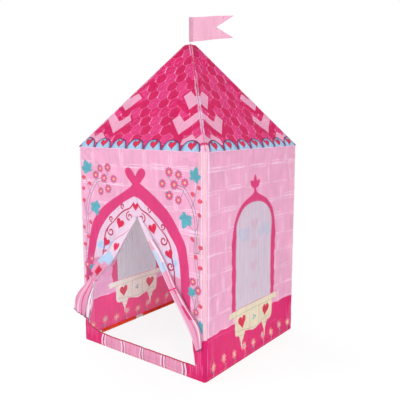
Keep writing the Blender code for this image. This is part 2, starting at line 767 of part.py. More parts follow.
def door_flaps():
    """What sets the two flaps apart: side, edges, pleats, stand-off and the place of the tie."""
    return {
        "left": {
            "side": -1,
            "shares": LEFT_FLAP_SHARES,
            "tie_share": LEFT_TIE_SHARE,
            "folds": FLAP_FOLDS,
            "columns": FLAP_COLUMNS,
            "fold_depth": FLAP_FOLD_DEPTH,
            "stand_off": FLAP_STAND_OFF,
        },
        "right": {
            "side": 1,
            "shares": RIGHT_FLAP_SHARES,
            "tie_share": RIGHT_TIE_SHARE,
            "folds": STRIP_FOLDS,
            "columns": STRIP_COLUMNS,
            "fold_depth": STRIP_FOLD_DEPTH,
            "stand_off": STRIP_STAND_OFF,
        },
    }


def add_door(finishes, tent):
    """The two drawn-back flaps and the ties round them, hinged at the top of the slit."""
    hinge = Vector((0.0, -HALF_PLAN - SEAM_GAP, DOOR_TOP))
    for name, flap in door_flaps().items():
        cloth = flap_mesh(f"door_flap_{name}", flap, hinge)
        tie = tie_mesh(f"door_tie_{name}", flap, hinge)
        new_piece(f"door_flap_{name}", cloth, finishes["flap"], tent, 0.0, hinge)
        new_piece(f"door_tie_{name}", tie, finishes["tape"], tent, 0.0, hinge)


def flag_sheet_mesh():
    """The swallow-tailed cloth of the flag, from the pole's axis out to its two tips, in a soft wave."""
    rings = []
    for column in range(FLAG_COLUMNS + 1):
        share = column / FLAG_COLUMNS
        rise = (FLAG_HOIST - FLAG_TIP_HEIGHT) * share
        wave = FLAG_WAVE * share * math.sin(2 * math.pi * FLAG_WAVE_COUNT * share)
        front = []
        back = []
        for row in range(FLAG_ROWS + 1):
            height = row / FLAG_ROWS
            notch = FLAG_NOTCH_DEPTH * (1 - abs(2 * height - 1)) * share
            reach = FLAG_LENGTH * share - notch
            level = FLAG_TOP - FLAG_HOIST + rise + (FLAG_HOIST - rise) * height
            front.append(Vector((reach, wave + FLAG_CLOTH / 2, level)))
            back.append(Vector((reach, wave - FLAG_CLOTH / 2, level)))
        rings.append((front, back))
    return loft("flag", rings)


def flag_mesh():
    """The flag with the sleeve that turns on the pole and is sewn shut at the top."""
    inner = FLAG_POLE_RADIUS + FLAG_SLEEVE_FIT
    outer = inner + FLAG_CLOTH
    low = FLAG_TOP - FLAG_HOIST
    sleeve_profile = ((outer, low), (outer, FLAG_TOP))
    bore_profile = ((inner, low - BORE_OVERRUN), (inner, FLAG_TOP - FLAG_CLOTH))
    cover = lathe("sleeve", sleeve_profile, SOCKET_SIDES)
    hole = lathe("hole", bore_profile, SOCKET_SIDES)
    return built_up(flag_sheet_mesh(), [cover], [hole])


def add_flag(finishes, tent):
    """The flag pole, pushed into the hub, and the flag on it."""
    foot = Vector((0.0, 0.0, HUB_TOP - FLAG_SOCKET_DEPTH + SEAT_GAP))
    top = Vector((0.0, 0.0, FLAG_TOP - FLAG_CLOTH - SEAM_GAP))
    pole = tube_mesh("flag_pole", foot, top, FLAG_POLE_RADIUS, FLAG_POLE_BORE_RADIUS)
    new_piece("flag_pole", pole, finishes["pole"], tent)
    new_piece("flag", flag_mesh(), finishes["flag"], tent, math.radians(FLAG_BEARING))


def main():
    """Build the whole tent."""
    clear_scene()
    finishes = make_finishes()
    tent = bpy.data.objects.new("tent", None)
    tent.location = (0.0, FLAP_REACH / 2, 0.0)
    bpy.context.scene.collection.objects.link(tent)
    add_frame(finishes, tent)
    add_cover(finishes, tent)
    add_door(finishes, tent)
    add_flag(finishes, tent)


main()
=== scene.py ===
"""Castle play tent: the printed cover, netted windows, drawn-back door and flag, dressed over the frame.

Lengths are metres. The door faces -Y. Prints are cut as shapes into each panel's own mesh, in the
panel's own coordinates: across to the right and up, as seen from outside.
"""

from math import acos, atan2, ceil, cos, exp, hypot, pi, radians, sin, sqrt

import bpy
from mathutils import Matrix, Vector, noise
from mathutils.geometry import delaunay_2d_cdt


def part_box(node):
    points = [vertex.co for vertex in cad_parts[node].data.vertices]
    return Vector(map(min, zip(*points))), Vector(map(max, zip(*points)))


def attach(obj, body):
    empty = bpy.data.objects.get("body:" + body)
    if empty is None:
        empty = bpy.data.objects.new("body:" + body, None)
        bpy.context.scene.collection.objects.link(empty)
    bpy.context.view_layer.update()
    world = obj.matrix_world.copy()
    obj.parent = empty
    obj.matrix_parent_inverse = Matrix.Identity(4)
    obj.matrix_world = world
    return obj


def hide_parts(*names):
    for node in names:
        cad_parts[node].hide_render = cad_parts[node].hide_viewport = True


bl_info = {
    "name": "Castle Play Tent",
    "version": (1, 0, 0),
    "blender": (4, 5, 0),
    "location": "View3D > Sidebar > Tent",
    "description": "Dresses the frame of a castle play tent with its printed cloth, nets, door and flag",
    "category": "Object",
}

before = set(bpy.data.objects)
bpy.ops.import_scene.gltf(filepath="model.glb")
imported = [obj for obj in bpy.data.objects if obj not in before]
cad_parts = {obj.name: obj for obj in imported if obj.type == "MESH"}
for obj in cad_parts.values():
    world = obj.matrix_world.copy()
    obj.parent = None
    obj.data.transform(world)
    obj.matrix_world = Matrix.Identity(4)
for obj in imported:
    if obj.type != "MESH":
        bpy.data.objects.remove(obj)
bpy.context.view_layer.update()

# Places that the frame gives
ROOF_BOX, HUB_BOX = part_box("roof_front"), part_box("apex_hub")
SEAM_GAP = 0.0003
TENT_Y = (HUB_BOX[0].y + HUB_BOX[1].y) / 2
HALF = ROOF_BOX[1].x + SEAM_GAP
EAVE, PEAK = ROOF_BOX[0].z, ROOF_BOX[1].z
CORNER = 0.0138
WALL_HALF = HALF - CORNER - SEAM_GAP
WALL_LOW, WALL_HIGH = 0.003, EAVE - SEAM_GAP
CAP_HALF = 0.019
SLOPE = (PEAK - EAVE) / (HALF - CAP_HALF)
RISE, RUN = SLOPE / hypot(1, SLOPE), 1 / hypot(1, SLOPE)
SLANT = (PEAK - EAVE) / RISE
SIDES = {"front": 0, "right": 1, "back": 2, "left": 3}
CORNERS = {"front_right": 0, "back_right": 1, "back_left": 2, "front_left": 3}
WINDOW_HALF, WINDOW_LOW, WINDOW_SPRING, WINDOW_TOP = 0.159, 0.265, 0.655, 0.768
# INNER_PAINTED_LIGHT is painted light: it raises the green and blue of every inner face against the pink
# light inside the tent.
INNER_PAINTED_LIGHT, INNER_PALE = (1.0, 1.06, 1.16), (0.8, 0.88, 0.92)


def shade(level):
    """A level from 0 to 255 as a linear one."""
    part = level / 255
    return part / 12.92 if part <= 0.04045 else ((part + 0.055) / 1.055) ** 2.4


def colour(name, description, *levels):
    """A colour that the user can change."""
    return bpy.props.FloatVectorProperty(
        name=name, description=description, subtype="COLOR", size=3, min=0.0, max=1.0,
        default=[shade(level) for level in levels],
    )


def length(name, description, default, top):
    """A length that the user can change."""
    return bpy.props.FloatProperty(
        name=name, description=description, default=default, min=0.0, max=top, unit="LENGTH", precision=4
    )


class TentColours(bpy.types.PropertyGroup):
    """Inks and finishes of the tent."""

    wall: colour("Wall", "Pink ground of the walls", 242, 184, 212)
    brick: colour("Brick line", "Pale lines between the bricks", 253, 226, 241)
    rose: colour("Rose", "Door arch, window frames and finials", 226, 64, 132)
    deep: colour("Deep rose", "Band along the foot of the walls", 226, 26, 118)
    # On the corner strips this pale ink is the strip's colour and in part a painted highlight along the
    # rounded corner.
    strip: colour("Corner strip", "Rounded strips at the corners", 246, 204, 224)
    yellow: colour("Yellow", "Thread line on the corners and flower hearts", 250, 214, 150)
    pale: colour("Door ground", "Pale ground inside the door arch", 238, 214, 231)
    scroll: colour("Scroll", "Lines of the scrolls in the door arch", 200, 30, 88)
    red: colour("Red", "Small hearts", 226, 38, 84)
    sky: colour("Sky", "Scallops and ribbons", 130, 196, 222)
    plum: colour("Plum", "Outline of the scallops", 132, 36, 98)
    sky_pale: colour("Pale sky", "Inside of the scallops", 176, 214, 236)
    mist: colour("Mist", "Soft patches in the door ground", 222, 222, 242)
    haze: colour("Haze", "Middle of the soft patches", 188, 214, 242)
    net_haze: colour("Net haze", "Soft blue patches on the window nets", 224, 228, 248)
    # Painted shade: the nets' inner face is grey for the shade inside the tent.
    net_back: colour("Net inside", "Inner face of the window nets", 184, 183, 178)
    white: colour("White", "Pale stripes on the sill and flaps", 252, 232, 242)
    peach: colour("Peach", "Small flowers along the foot", 252, 206, 188)
    shingle_pale: colour("Shingle stroke", "Strokes on the lighter shingles", 238, 112, 166)
    teal_deep: colour("Leaf vein", "Veins of the leaves", 64, 158, 176)
    # Painted light: the next two are lighter copies of the cream and deep inks for the inner faces, standing
    # in for light inside the tent.
    cream_lit_inside: colour("Cream inside", "Window boxes seen from inside", 250, 255, 240)
    deep_lit_inside: colour("Deep band inside", "The band along the foot seen from inside", 248, 38, 142)
    teal: colour("Teal", "Leaves", 98, 188, 200)
    stem: colour("Stem", "Stems of the flowers", 116, 132, 150)
    petal: colour("Petal", "Petals of the flowers", 238, 90, 152)
    berry: colour("Berry", "Berries", 228, 62, 104)
    cream: colour("Cream", "Window boxes", 236, 226, 196)
    ochre: colour("Ochre", "Lines on the window boxes", 176, 168, 128)
    paving: colour("Paving", "Paving along the door sill", 236, 164, 196)
    shingle: colour("Shingle", "Darker roof shingles", 214, 6, 98)
    shingle_mid: colour("Middle shingle", "Roof shingles between the two", 222, 26, 114)
    shingle_light: colour("Light shingle", "Lighter roof shingles", 226, 54, 132)
    shingle_seam: colour("Shingle seam", "Lines between the shingles", 238, 128, 174)
    zigzag: colour("Zigzag", "Pale blocks beside the hips", 236, 176, 202)
    flag: colour("Flag", "Cloth of the flag", 228, 174, 196)
    net: colour("Net", "Window nets", 242, 230, 246)
    net_heart: colour("Net heart", "Hearts on the window nets", 242, 216, 234)
    hem: colour("Hem", "Binding inside the foot of the walls", 255, 92, 40)
    binding: colour("Binding", "Bound edge of the doorway", 176, 16, 60)
    pole: colour("Pole", "Plastic tubes", 226, 230, 230)
    connector: colour("Connector", "Moulded corners and hub", 232, 232, 230)


class TentSizes(bpy.types.PropertyGroup):
    """Sizes of the cloth."""

    cloth: length("Cloth", "Thickness of the printed cloth", 0.0009, 0.003)
    net: length("Net", "Thickness of the window nets", 0.0006, 0.002)
    step: length("Mesh step", "Distance between the points of the large panels", 0.011, 0.05)
    fine_step: length("Fine mesh step", "Distance between the points of small pieces", 0.0035, 0.02)
    billow: length("Billow", "How far the walls and roof hang in from their frame", 0.004, 0.02)
    pucker: length("Pucker", "Depth of the small creases along seams", 0.0034, 0.01)
    stitch: length("Stitch", "Length of one stitch", 0.0042, 0.02)
    thread: length("Thread", "Radius of the sewing thread", 0.00035, 0.002)
    piping: length("Piping", "Radius of the piping on the seams", 0.0014, 0.005)


def sizes():
    """The sizes that the user can change."""
    return bpy.context.scene.tent_sizes


def inks():
    """Every ink by name, as a linear colour."""
    colours = bpy.context.scene.tent_colours
    return {key: tuple(getattr(colours, key)) for key in TentColours.__annotations__}


# Plane shapes


def mm(*values, by=2):
    """Points, or longer rows, from values in millimetres or thousandths."""
    return [tuple(value / 1000 for value in values[k:k + by]) for k in range(0, len(values), by)]


def curve(points, steps, closed=False):
    """A smooth line through points."""
    count, out = len(points), []
    for index in range(count if closed else count - 1):
        four = [index + shift for shift in (-1, 0, 1, 2)]
        four = [points[k % count if closed else min(max(k, 0), count - 1)] for k in four]
        for step in range(steps):
            t = step / steps
            weights = (
                (-t + 2 * t * t - t**3) / 2, (2 - 5 * t * t + 3 * t**3) / 2,
                (t + 4 * t * t - 3 * t**3) / 2, (t**3 - t * t) / 2,
            )
            out.append(tuple(sum(w * p[axis] for w, p in zip(weights, four)) for axis in (0, 1)))
    return out if closed else out + [tuple(points[-1])]


def flipped(points, flip, shift=0.0):
    """Points mirrored across, if flip is -1, and then moved across."""
    return [(flip * x + shift, y) for x, y in points]


def placed(points, across, up, turn=0.0):
    """Points turned in degrees and moved to a place."""
    cosine, sine = cos(radians(turn)), sin(radians(turn))
    return [(across + x * cosine - y * sine, up + x * sine + y * cosine) for x, y in points]


def away(across, up, reach, angle):
    """A place at a reach and an angle in degrees from another."""
    return across + reach * cos(radians(angle)), up + reach * sin(radians(angle))


def ring_of(wide, tall, start, sweep, steps, ends=0):
    """Points round an oval's edge from an angle, over a sweep; its end too if ends is 1."""
    angles = [start + sweep * step / steps for step in range(steps + ends)]
    return [(wide * cos(angle), tall * sin(angle)) for angle in angles]


def rectangle(left, low, right, high):
    """Corners of an upright rectangle."""
    return [(left, low), (right, low), (right, high), (left, high)]


def oval(across, up, wide, tall, turn=0.0, count=14):
    """An oval by its half width and half height."""
    return placed(ring_of(wide, tall, 0, 2 * pi, count), across, up, turn)


def heart(across, up, wide, tall, turn=0.0):
    """A heart by its full width and height, about its middle."""
    ring = []
    for step in range(28):
        t = 2 * pi * step / 28
        y = 13 * cos(t) - 5 * cos(2 * t) - 2 * cos(3 * t) - cos(4 * t)
        ring.append((16 * sin(t) ** 3 / 32 * wide, (y + 2.5) / 29 * tall))
    return placed(ring, across, up, turn)


def leaf(across, up, long, wide, turn):
    """A pointed leaf from its stalk, along its turn."""
    half = mm(0, 0, 220, 360, 500, 500, 780, 340, 1000, 0)
    edge = curve([(x * long, y * wide) for x, y in half], 3)
    return placed(edge + [(x, -y) for x, y in reversed(edge[1:-1])], across, up, turn)


def stroke(points, width, taper):
    """A drawn line of a width, thinner at its ends by a share."""
    left, right, last = [], [], len(points) - 1
    for index, (x, y) in enumerate(points):
        before, after = points[max(index - 1, 0)], points[min(index + 1, last)]
        dx, dy = after[0] - before[0], after[1] - before[1]
        size = hypot(dx, dy) or 1.0
        half = width / 2 * (1 - taper * abs(2 * index / last - 1) ** 3)
        left.append((x - dy / size * half, y + dx / size * half))
        right.append((x + dy / size * half, y - dx / size * half))
    return left + right[::-1]


def drawn(points, width, ink, taper=0.0, steps=0):
    """The print of a line, smooth if steps are given."""
    return stroke(curve(points, steps) if steps else points, width, taper), ink


def spiral(across, up, start, end, first, turns):
    """Points of a spiral from one radius to another, from an angle in degrees."""
    shares = [step / 26 for step in range(27)]
    return [away(across, up, start + (end - start) * share, first + 360 * turns * share) for share in shares]


def soft_step(value):
    """A smooth rise from 0 to 1 as a value goes from 0 to 1."""
    value = min(max(value, 0.0), 1.0)
    return value * value * (3 - 2 * value)


def ripple(x, y, seed):
    """Smooth noise from about -1 to 1."""
    return noise.noise(Vector((x, y, seed)))


def ridge(x, y, seed):
    """Noise with sharp crests, about 0 between them and 1 along them."""
    return max(1 - 2.6 * abs(ripple(x, y, seed)), 0.0)


def chance(*places):
    """A steady number from 0 to 1 for a place in a pattern."""
    return 0.5 + 0.5 * sin(sum(p * w for p, w in zip(places, (12.9898, 78.233, 37.719))) * 43.7)


# Cloth


def turned(point, quarter):
    """A point given for the front side about the tent's middle, turned to another side."""
    x, y, z = point
    for _ in range(quarter):
        x, y = -y, x
    return Vector((x, y + TENT_Y, z))


def spaced(line, step):
    """Points along a line, no further apart than a step, without its last one."""
    out = []
    for (x0, y0), (x1, y1) in zip(line, line[1:]):
        parts = max(1, ceil(hypot(x1 - x0, y1 - y0) / step))
        out += [(x0 + (x1 - x0) * (part / parts), y0 + (y1 - y0) * (part / parts)) for part in range(parts)]
    return out


def cut_triangles(outline, holes, prints, ground, step, stretch):
    """Triangles of a panel with every print's edge as an edge of the mesh, and the ink of each."""
    points, faces = [], []
    for loop in (outline, *holes, *[shape for shape, _ in prints]):
        loop = spaced([*loop, loop[0]], step)
        if sum(x0 * y1 - x1 * y0 for (x0, y0), (x1, y1) in zip(loop, loop[1:] + loop[:1])) < 0:
            loop.reverse()
        faces.append(list(range(len(points), len(points) + len(loop))))
        points.extend(Vector(point) for point in loop)
    low_x, low_y, high_x, high_y = (edge(p[axis] for p in outline) for edge in (min, max) for axis in (0, 1))
    rows = max(2, round((high_y - low_y) / step / stretch))
    columns = max(2, round((high_x - low_x) / step))
    for row in range(1, rows):
        for column in range(1, columns):
            across = low_x + (column + 0.5 * (row % 2) - 0.25) * (high_x - low_x) / columns
            points.append(Vector((across, low_y + row * (high_y - low_y) / rows)))
    inside_only, merged = 1, 1e-6
    verts, _, triangles, _, _, owners = delaunay_2d_cdt(points, [], faces, inside_only, merged, True)
    kept, tints, first = [], [], 1 + len(holes)
    for triangle, owner in zip(triangles, owners):
        if 0 not in owner or any(index in owner for index in range(1, first)):
            continue
        top = max(owner)
        for extra in range(1, len(triangle) - 1):
            kept.append((triangle[0], triangle[extra], triangle[extra + 1]))
            tints.append(prints[top - first][1] if top >= first else ground)
    used = sorted({index for triangle in kept for index in triangle})
    order = {index: place for place, index in enumerate(used)}
    return [verts[index] for index in used], [tuple(order[index] for index in each) for each in kept], tints


def mesh_piece(name, verts, faces, smooth=True):
    """A mesh object in the scene."""
    mesh = bpy.data.meshes.new(name)
    mesh.from_pydata([tuple(v) for v in verts], [], faces)
    mesh.polygons.foreach_set("use_smooth", [smooth] * len(faces))
    piece = bpy.data.objects.new(name, mesh)
    bpy.context.scene.collection.objects.link(piece)
    return piece


def cloth_piece(name, surface, outline, ground, prints=(), holes=(), *, step, thick=0.0009, back=0.03,
                back_ink=None, stretch=1.0):
    """A closed sheet of printed cloth on a curved surface, with its outer face on the print's side.

    surface gives the middle of the cloth at a place across and up. step is the distance between the mesh's
    points, and stretch is how much longer it is upward. back is how much the ink pales on the inner face,
    and back_ink chooses the inner ink from the outer one and a place.
    """
    flat, triangles, tints = cut_triangles(outline, holes, list(prints), ground, step, stretch)
    table, near, middle, normals = inks(), 0.0004, [], []
    for x, y in flat:
        here = surface(x, y)
        middle.append(here)
        normals.append((surface(x + near, y) - here).cross(surface(x, y + near) - here).normalized())
    count = len(flat)
    verts = [p + n * (thick / 2 * side) for side in (1, -1) for p, n in zip(middle, normals)]
    sides = dict.fromkeys(pair for a, b, c in triangles for pair in ((a, b), (b, c), (c, a)))
    rim = [(a, b) for a, b in sides if (b, a) not in sides]
    faces = triangles + [(c + count, b + count, a + count) for a, b, c in triangles]
    piece = mesh_piece(name, verts, faces + [(b, a, a + count, b + count) for a, b in rim])
    colours, places, bent, rim_tone = [], [], [], {}

    def paint(index, tone, normal):
        colours.extend((*tone, 1.0))
        places.extend(flat[index])
        bent.append(normal)

    for triangle, tint in zip(triangles, tints):
        for index in triangle:
            rim_tone[index] = table[tint]
            paint(index, table[tint], normals[index])
    for triangle, tint in zip(triangles, tints):
        tone = table[back_ink(tint, flat[triangle[0]]) if back_ink else tint]
        # painted light: inner faces get more green and blue against the pink light inside the tent
        tone = [min(part * more, 1.0) for part, more in zip(tone, INNER_PAINTED_LIGHT)]
        tone = [part + (pale - part) * back for part, pale in zip(tone, INNER_PALE)]
        for index in reversed(triangle):
            paint(index, tone, -normals[index])
    for a, b in rim:
        for index in (b, a, a, b):
            paint(index, rim_tone[index], Vector((0, 0, 0)))
    mesh = piece.data
    mesh.color_attributes.new("ink", "FLOAT_COLOR", "CORNER").data.foreach_set("color", colours)
    mesh.uv_layers.new(name="print").data.foreach_set("uv", places)
    mesh.normals_split_custom_set(bent)
    return piece


def dress(piece, material, body, slot, *nodes):
    """Gives a piece its material and body, and hides the frame nodes that it stands for; slot is not used."""
    piece.data.materials.append(material)
    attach(piece, body)
    if nodes:
        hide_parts(*nodes)
    return piece


# Walls


def wall_sag(side, across, up):
    """How far a wall's cloth stands out of its flat plane: mostly a little inward."""
    size, seed = sizes(), 3.1 + 7 * SIDES[side]
    edge, rise = WALL_HALF - abs(across), EAVE - up
    held = soft_step(edge / 0.012) * soft_step(rise / 0.012) * soft_step((up - WALL_LOW) / 0.012)
    free = soft_step((edge - 0.01) / 0.05) * soft_step((rise - 0.03) / 0.05) * soft_step((up - 0.03) / 0.05)
    sag = -size.billow * free * (0.7 + 0.5 * ripple(across * 4, up * 3, seed))
    folds = 1.5 * ridge(across * 30 + 2 * ripple(up * 3, 0, seed), up * 1.6, seed + 1) * exp(-edge / 0.05)
    folds += 1.4 * ridge(across * 24 + up * 5, up * 2.4, seed + 4) * exp(-up / 0.13)
    folds += 0.9 * ridge(across * 22, up * 5, seed + 2) * exp(-rise / 0.05)
    # creases that run out from the upper corners and from the window box's ends
    for corner in (-1, 1):
        for deep, dx, dy, waves, shift, start, fade in (
            (0.9, WALL_HALF - corner * across, rise, 13, 2 * corner, 0.06, 0.22),
            (0.6, 0.17 - corner * across, 0.27 - up, 7, 0, 0.04, 0.12),
        ):
            reach, angle = hypot(dx, dy), atan2(dy, dx) * waves + shift + seed
            folds += deep * sin(angle) * soft_step(reach / start) * exp(-reach / fade)
    folds += 0.9 * ridge(across * 7 + up * 5, up * 4 - across * 4, seed + 3)
    folds += 0.5 * ripple(across * 20 - up * 10, up * 18, seed + 5)
    # the connectors in the corners stand a hair behind the cloth, the poles a few millimetres
    low_high = soft_step((up - 0.068) / 0.03) * soft_step((rise - 0.06) / 0.03)
    clear = 1 - (1 - soft_step((edge - 0.055) / 0.03)) * (1 - low_high * soft_step((edge - 0.008) / 0.012))
    return max(sag + size.pucker * (folds - 0.6 * free) * held, -0.0005 - 0.003 * clear - 0.008 * free)


def wall_surface(side):
    """The middle of a wall's cloth."""
    quarter, thick = SIDES[side], sizes().cloth

    def surface(across, up):
        depth = wall_sag(side, across, up)
        # nearly flat behind the drawn-back flaps
        if side == "front":
            flap = 0.3 * max(0.72 - up, 0) / 0.5
            depth = min(depth, 0.004 * soft_step((abs(abs(across) - flap) - 0.09) / 0.06))
        return turned((across, -HALF + thick / 2 - depth, up), quarter)

    return surface


def brick_lines(seed):
    """Hand-drawn brick courses: bundles of fine pale strokes under and beside each brick."""
    tall, up, row = 0.092, EAVE - 0.088, 0
    while up > 0.1:
        across = -HALF + 0.1 * chance(row, 1, seed) - 0.12
        while across < HALF:
            wide, lines = 0.145 + 0.075 * chance(row, across * 20, seed), []
            for line in range(2 + round(2.6 * chance(across * 31, row, seed))):
                start = across + wide * 0.3 * chance(line, across * 7, row + seed)
                end = across + wide * (1.06 - 0.3 * chance(line + 5, across * 9, row + seed))
                height = up + 0.0062 * line + 0.003 * chance(line, row, across)
                drift = 0.006 * (chance(across * 3, row, line) - 0.5)
                middle = ((start + end) / 2, height + drift)
                lines.append([(start, height), middle, (end, height + 0.3 * drift)])
            for line in range(1 + round(2.4 * chance(across * 17, row, seed + 3))):
                x = across + 0.0075 * line
                top = up + tall * (0.72 + 0.24 * chance(line, across * 5, row))
                lean = 0.006 * (chance(row, line, across * 2) - 0.5)
                lines.append([(x, up + 0.004), (x + lean, (up + top) / 2), (x + 0.4 * lean, top)])
            yield from (drawn(points, 0.0028, "brick", 0.6, 3) for points in lines)
            across += wide
        up -= tall
        row += 1
    for flip in (-1, 1):
        yield drawn(flipped(mm(380.5, -10, 379.5, 500, 381, 1100), flip), 0.004, "brick")
    yield drawn(mm(372.5, 200, 371.5, 600, 373, 1100), 0.0022, "yellow")


def painted_end_highlights(count, pitch, low, high, spread, lean, seed):
    """Pale upright strokes in the deep ink, from both ends of a wall inward: painted highlights of upright
    creases.
    """
    for index in range(count):
        x = (0.385 - pitch * (index // 2)) * (-1 if index % 2 else 1)
        foot, head = low + 0.05 * chance(index, 4, seed), high + spread * chance(index, 6, seed)
        points = [(x, foot), (x * lean, (foot + head) / 2), (x, head)]
        yield drawn(points, 0.004, "shingle_pale" if index % 3 else "shingle_seam", 0.8, 4)


def foot_band(top, seed):
    """The deep band along a wall's foot: an uneven top, paler strokes in it, and painted crease highlights
    near its ends.
    """
    line = [(-HALF + 0.04 * k, top + 0.007 * ripple(k * 0.9, 1, seed)) for k in range(21)]
    yield ((-HALF, -0.01), (HALF, -0.01), *curve(line, 3)[::-1]), "deep"
    for index in range(30):
        x = -0.38 + 0.76 * chance(index, 3, seed)
        y = 0.03 + 0.16 * chance(index, 8, seed)
        wide = 0.03 + 0.06 * chance(index, 5, seed)
        points = [(x - wide, y - 0.002), (x, y + 0.003 * chance(index, 2, seed)), (x + wide, y)]
        yield drawn(points, 0.0026, "rose" if index % 3 else "shingle_pale", 0.8, 4)
    # pale upright strokes near the ends: painted highlights of creases
    yield from painted_end_highlights(10, 0.012, 0.02, 0.1, 0.09, 0.995, seed)


def blossom(across, up, size, turn):
    """A five-petalled flower with small leaves between its petals."""
    for angle in (turn + 72 * petal for petal in range(5)):
        start, middle = away(across, up, 0.3 * size, angle + 36), away(across, up, 0.6 * size, angle)
        yield leaf(*start, 0.86 * size, 0.34 * size, angle + 36), "stem"
        yield oval(*middle, 0.54 * size, 0.31 * size, angle, 12), "petal"
    yield oval(across, up, 0.32 * size, 0.32 * size, 0, 10), "yellow"


def vine_leaf(across, up, size, turn):
    """A leaf of five lobes on a short stalk."""
    for side, long in ((-105, 0.56), (105, 0.56), (-52, 0.84), (52, 0.84), (0, 1.12)):
        yield leaf(across, up, long * size, 0.6 * size * long, turn + side), "teal"
    for side in (-52, 52, 0):
        vein = placed([(0.1 * size, 0), (0.62 * size, 0)], across, up, turn + side)
        yield drawn(vein, 0.0036, "teal_deep", 0.5)
    yield drawn(placed([(-0.35 * size, 0), (0.1 * size, 0)], across, up, turn), 0.0018, "stem")


def garland(flip):
    """A climbing spray at one side of the door: stems, leaves, flowers and berries."""

    def stem(points, width):
        return drawn(flipped(curve(points, 5), flip), width, "stem")

    spine = mm(350, 200, 340, 330, 356, 460, 336, 580, 345, 680, 322, 780, 276, 845, 222, 860)
    for shift in (0.0, 0.012):
        yield stem([(x + shift, y + shift) for x, y in spine], 0.0024)
    for x0, y0, x1, y1 in mm(
        356, 460, 372, 515, 336, 580, 372, 600, 340, 330, 368, 372, 345, 680, 300, 705, 322, 780, 350, 865,
        345, 680, 366, 745, 276, 845, 276, 900, 276, 845, 236, 800, 222, 860, 185, 915, 222, 860, 168, 830,
        340, 330, 318, 385, 350, 200, 372, 245, by=4,
    ):
        yield stem([(x0, y0), ((x0 + x1) / 2 + 0.005, (y0 + y1) / 2 - 0.005), (x1, y1)], 0.0022)
    for x, y, size, turn in (
        (0.338, 0.905, 0.05, 70), (0.296, 0.738, 0.052, 248), (0.362, 0.268, 0.04, 300),
        (0.33, 0.395, 0.034, 130),
    ):
        yield from ((flipped(shape, flip), ink) for shape, ink in vine_leaf(x, y, 1.05 * size, turn))
    for x, y, size in mm(
        156, 872, 16.5, 196, 926, 17.5, 226, 872, 18, 252, 918, 16.5, 284, 884, 16.5, 196, 822, 17.5, 248,
        806, 16, 358, 418, 16.5, 328, 452, 15.5, 348, 318, 14, by=3,
    ):
        yield from blossom(flip * x, y, 1.2 * size, 17 + 400 * x)
    for x, y in mm(366, 868, 330, 838, 372, 812, 368, 752, 374, 612, 328, 642, 346, 566, 373, 522, 372, 350):
        yield oval(flip * x, y, 0.01, 0.0124, 700 * x, 12), "berry"
        for seed in range(5):
            turn = 2.5 * seed + 9 * x
            spot = (flip * x + 0.0052 * cos(turn), y + 0.0066 * sin(turn))
            yield oval(*spot, 0.0016, 0.0016, 0, 6), "peach"


def door_arch():
    """The door's arch, its pale ground, scrolls, hearts and the heart on top."""
    outer_left = mm(
        -372, 190, -370, 320, -366, 412, -349, 502, -330, 590, -311, 646, -274, 694, -224, 737, -170, 771,
        -111, 804, -54, 836, -31, 856,
    )
    finial = mm(
        -31, 856, -52, 876, -70, 896, -78, 916, -69, 930, -51, 933, -35, 925, -21, 910, -11, 896, -1, 911,
        12, 925, 30, 934, 46, 928, 53, 913, 46, 893, 30, 875, 18, 862,
    )
    outer_right = mm(
        18, 862, 64, 837, 115, 806, 159, 773, 198, 739, 255, 667, 288, 610, 303, 545, 310, 490, 313, 416,
        316, 300, 318, 190,
    )
    inner_left = mm(
        -326, 190, -325, 330, -318, 430, -297, 514, -283, 564, -266, 604, -234, 646, -196, 688, -148, 726,
        -101, 759, -55, 784, -22, 799,
    )
    inner_right = mm(
        -22, 799, 10, 792, 57, 763, 103, 733, 138, 706, 173, 672, 219, 617, 238, 588, 252, 540, 258, 490,
        262, 406, 264, 300, 266, 190,
    )
    paving = mm(
        -325, 180, -325, 452, -280, 470, -235, 458, -190, 475, -100, 460, 0, 470, 150, 448, 220, 462, 268,
        450, 270, 180,
    )
    outer = curve(outer_left, 4)[:-1] + curve(finial, 4)[:-1] + curve(outer_right, 4)
    inner = curve(inner_left, 4) + curve(inner_right, 4)[1:]
    yield inner, "pale"
    yield paving, "paving"
    for x, y, wide, tall, turn in (
        (-0.245, 0.536, 0.044, 0.024, 10), (-0.196, 0.548, 0.04, 0.022, -8),
        (-0.216, 0.524, 0.036, 0.018, 20), (0.188, 0.548, 0.03, 0.02, -14), (0.222, 0.52, 0.028, 0.022, 16),
        (0.236, 0.486, 0.022, 0.024, 0),
    ):
        yield oval(x, y, wide * 1.16, tall * 1.2, turn, 18), "mist"
    for x, y, wide, tall, turn in (
        (-0.25, 0.536, 0.036, 0.018, 10), (-0.194, 0.549, 0.03, 0.016, -8), (0.188, 0.549, 0.022, 0.014, -14),
        (0.222, 0.518, 0.02, 0.015, 16),
    ):
        yield oval(x, y, wide, tall, turn, 16), "haze"
    lines = (
        curve(mm(10, 772, 36, 742, 74, 726, 112, 700, 150, 664), 5),
        curve(mm(150, 664, 190, 630, 214, 586, 222, 530, 236, 470, 240, 360), 5),
        spiral(0.04, 0.7, 0.024, 0.006, 90, -1.3), spiral(0.172, 0.612, 0.024, 0.006, 60, -1.2),
        spiral(0.212, 0.5, 0.022, 0.006, 30, -1.2), spiral(0.086, 0.746, 0.013, 0.005, 250, 1.0),
        spiral(0.166, 0.676, 0.014, 0.005, 250, 1.0),
        curve(mm(40, 676, 62, 650, 72, 615), 5),
    )
    for flip in (-1, 1):
        yield from (drawn(flipped(line, flip, -0.012), 0.0074, "scroll", 0.35) for line in lines)
        for x, y, size, turn in ((0.108, 0.656, 0.052, 20), (0.206, 0.552, 0.046, 22)):
            yield heart(flip * x - 0.012, y, size, size, flip * turn), "red"
    yield heart(-0.013, 0.748, 0.036, 0.038), "red"
    yield outer + inner[::-1], "rose"


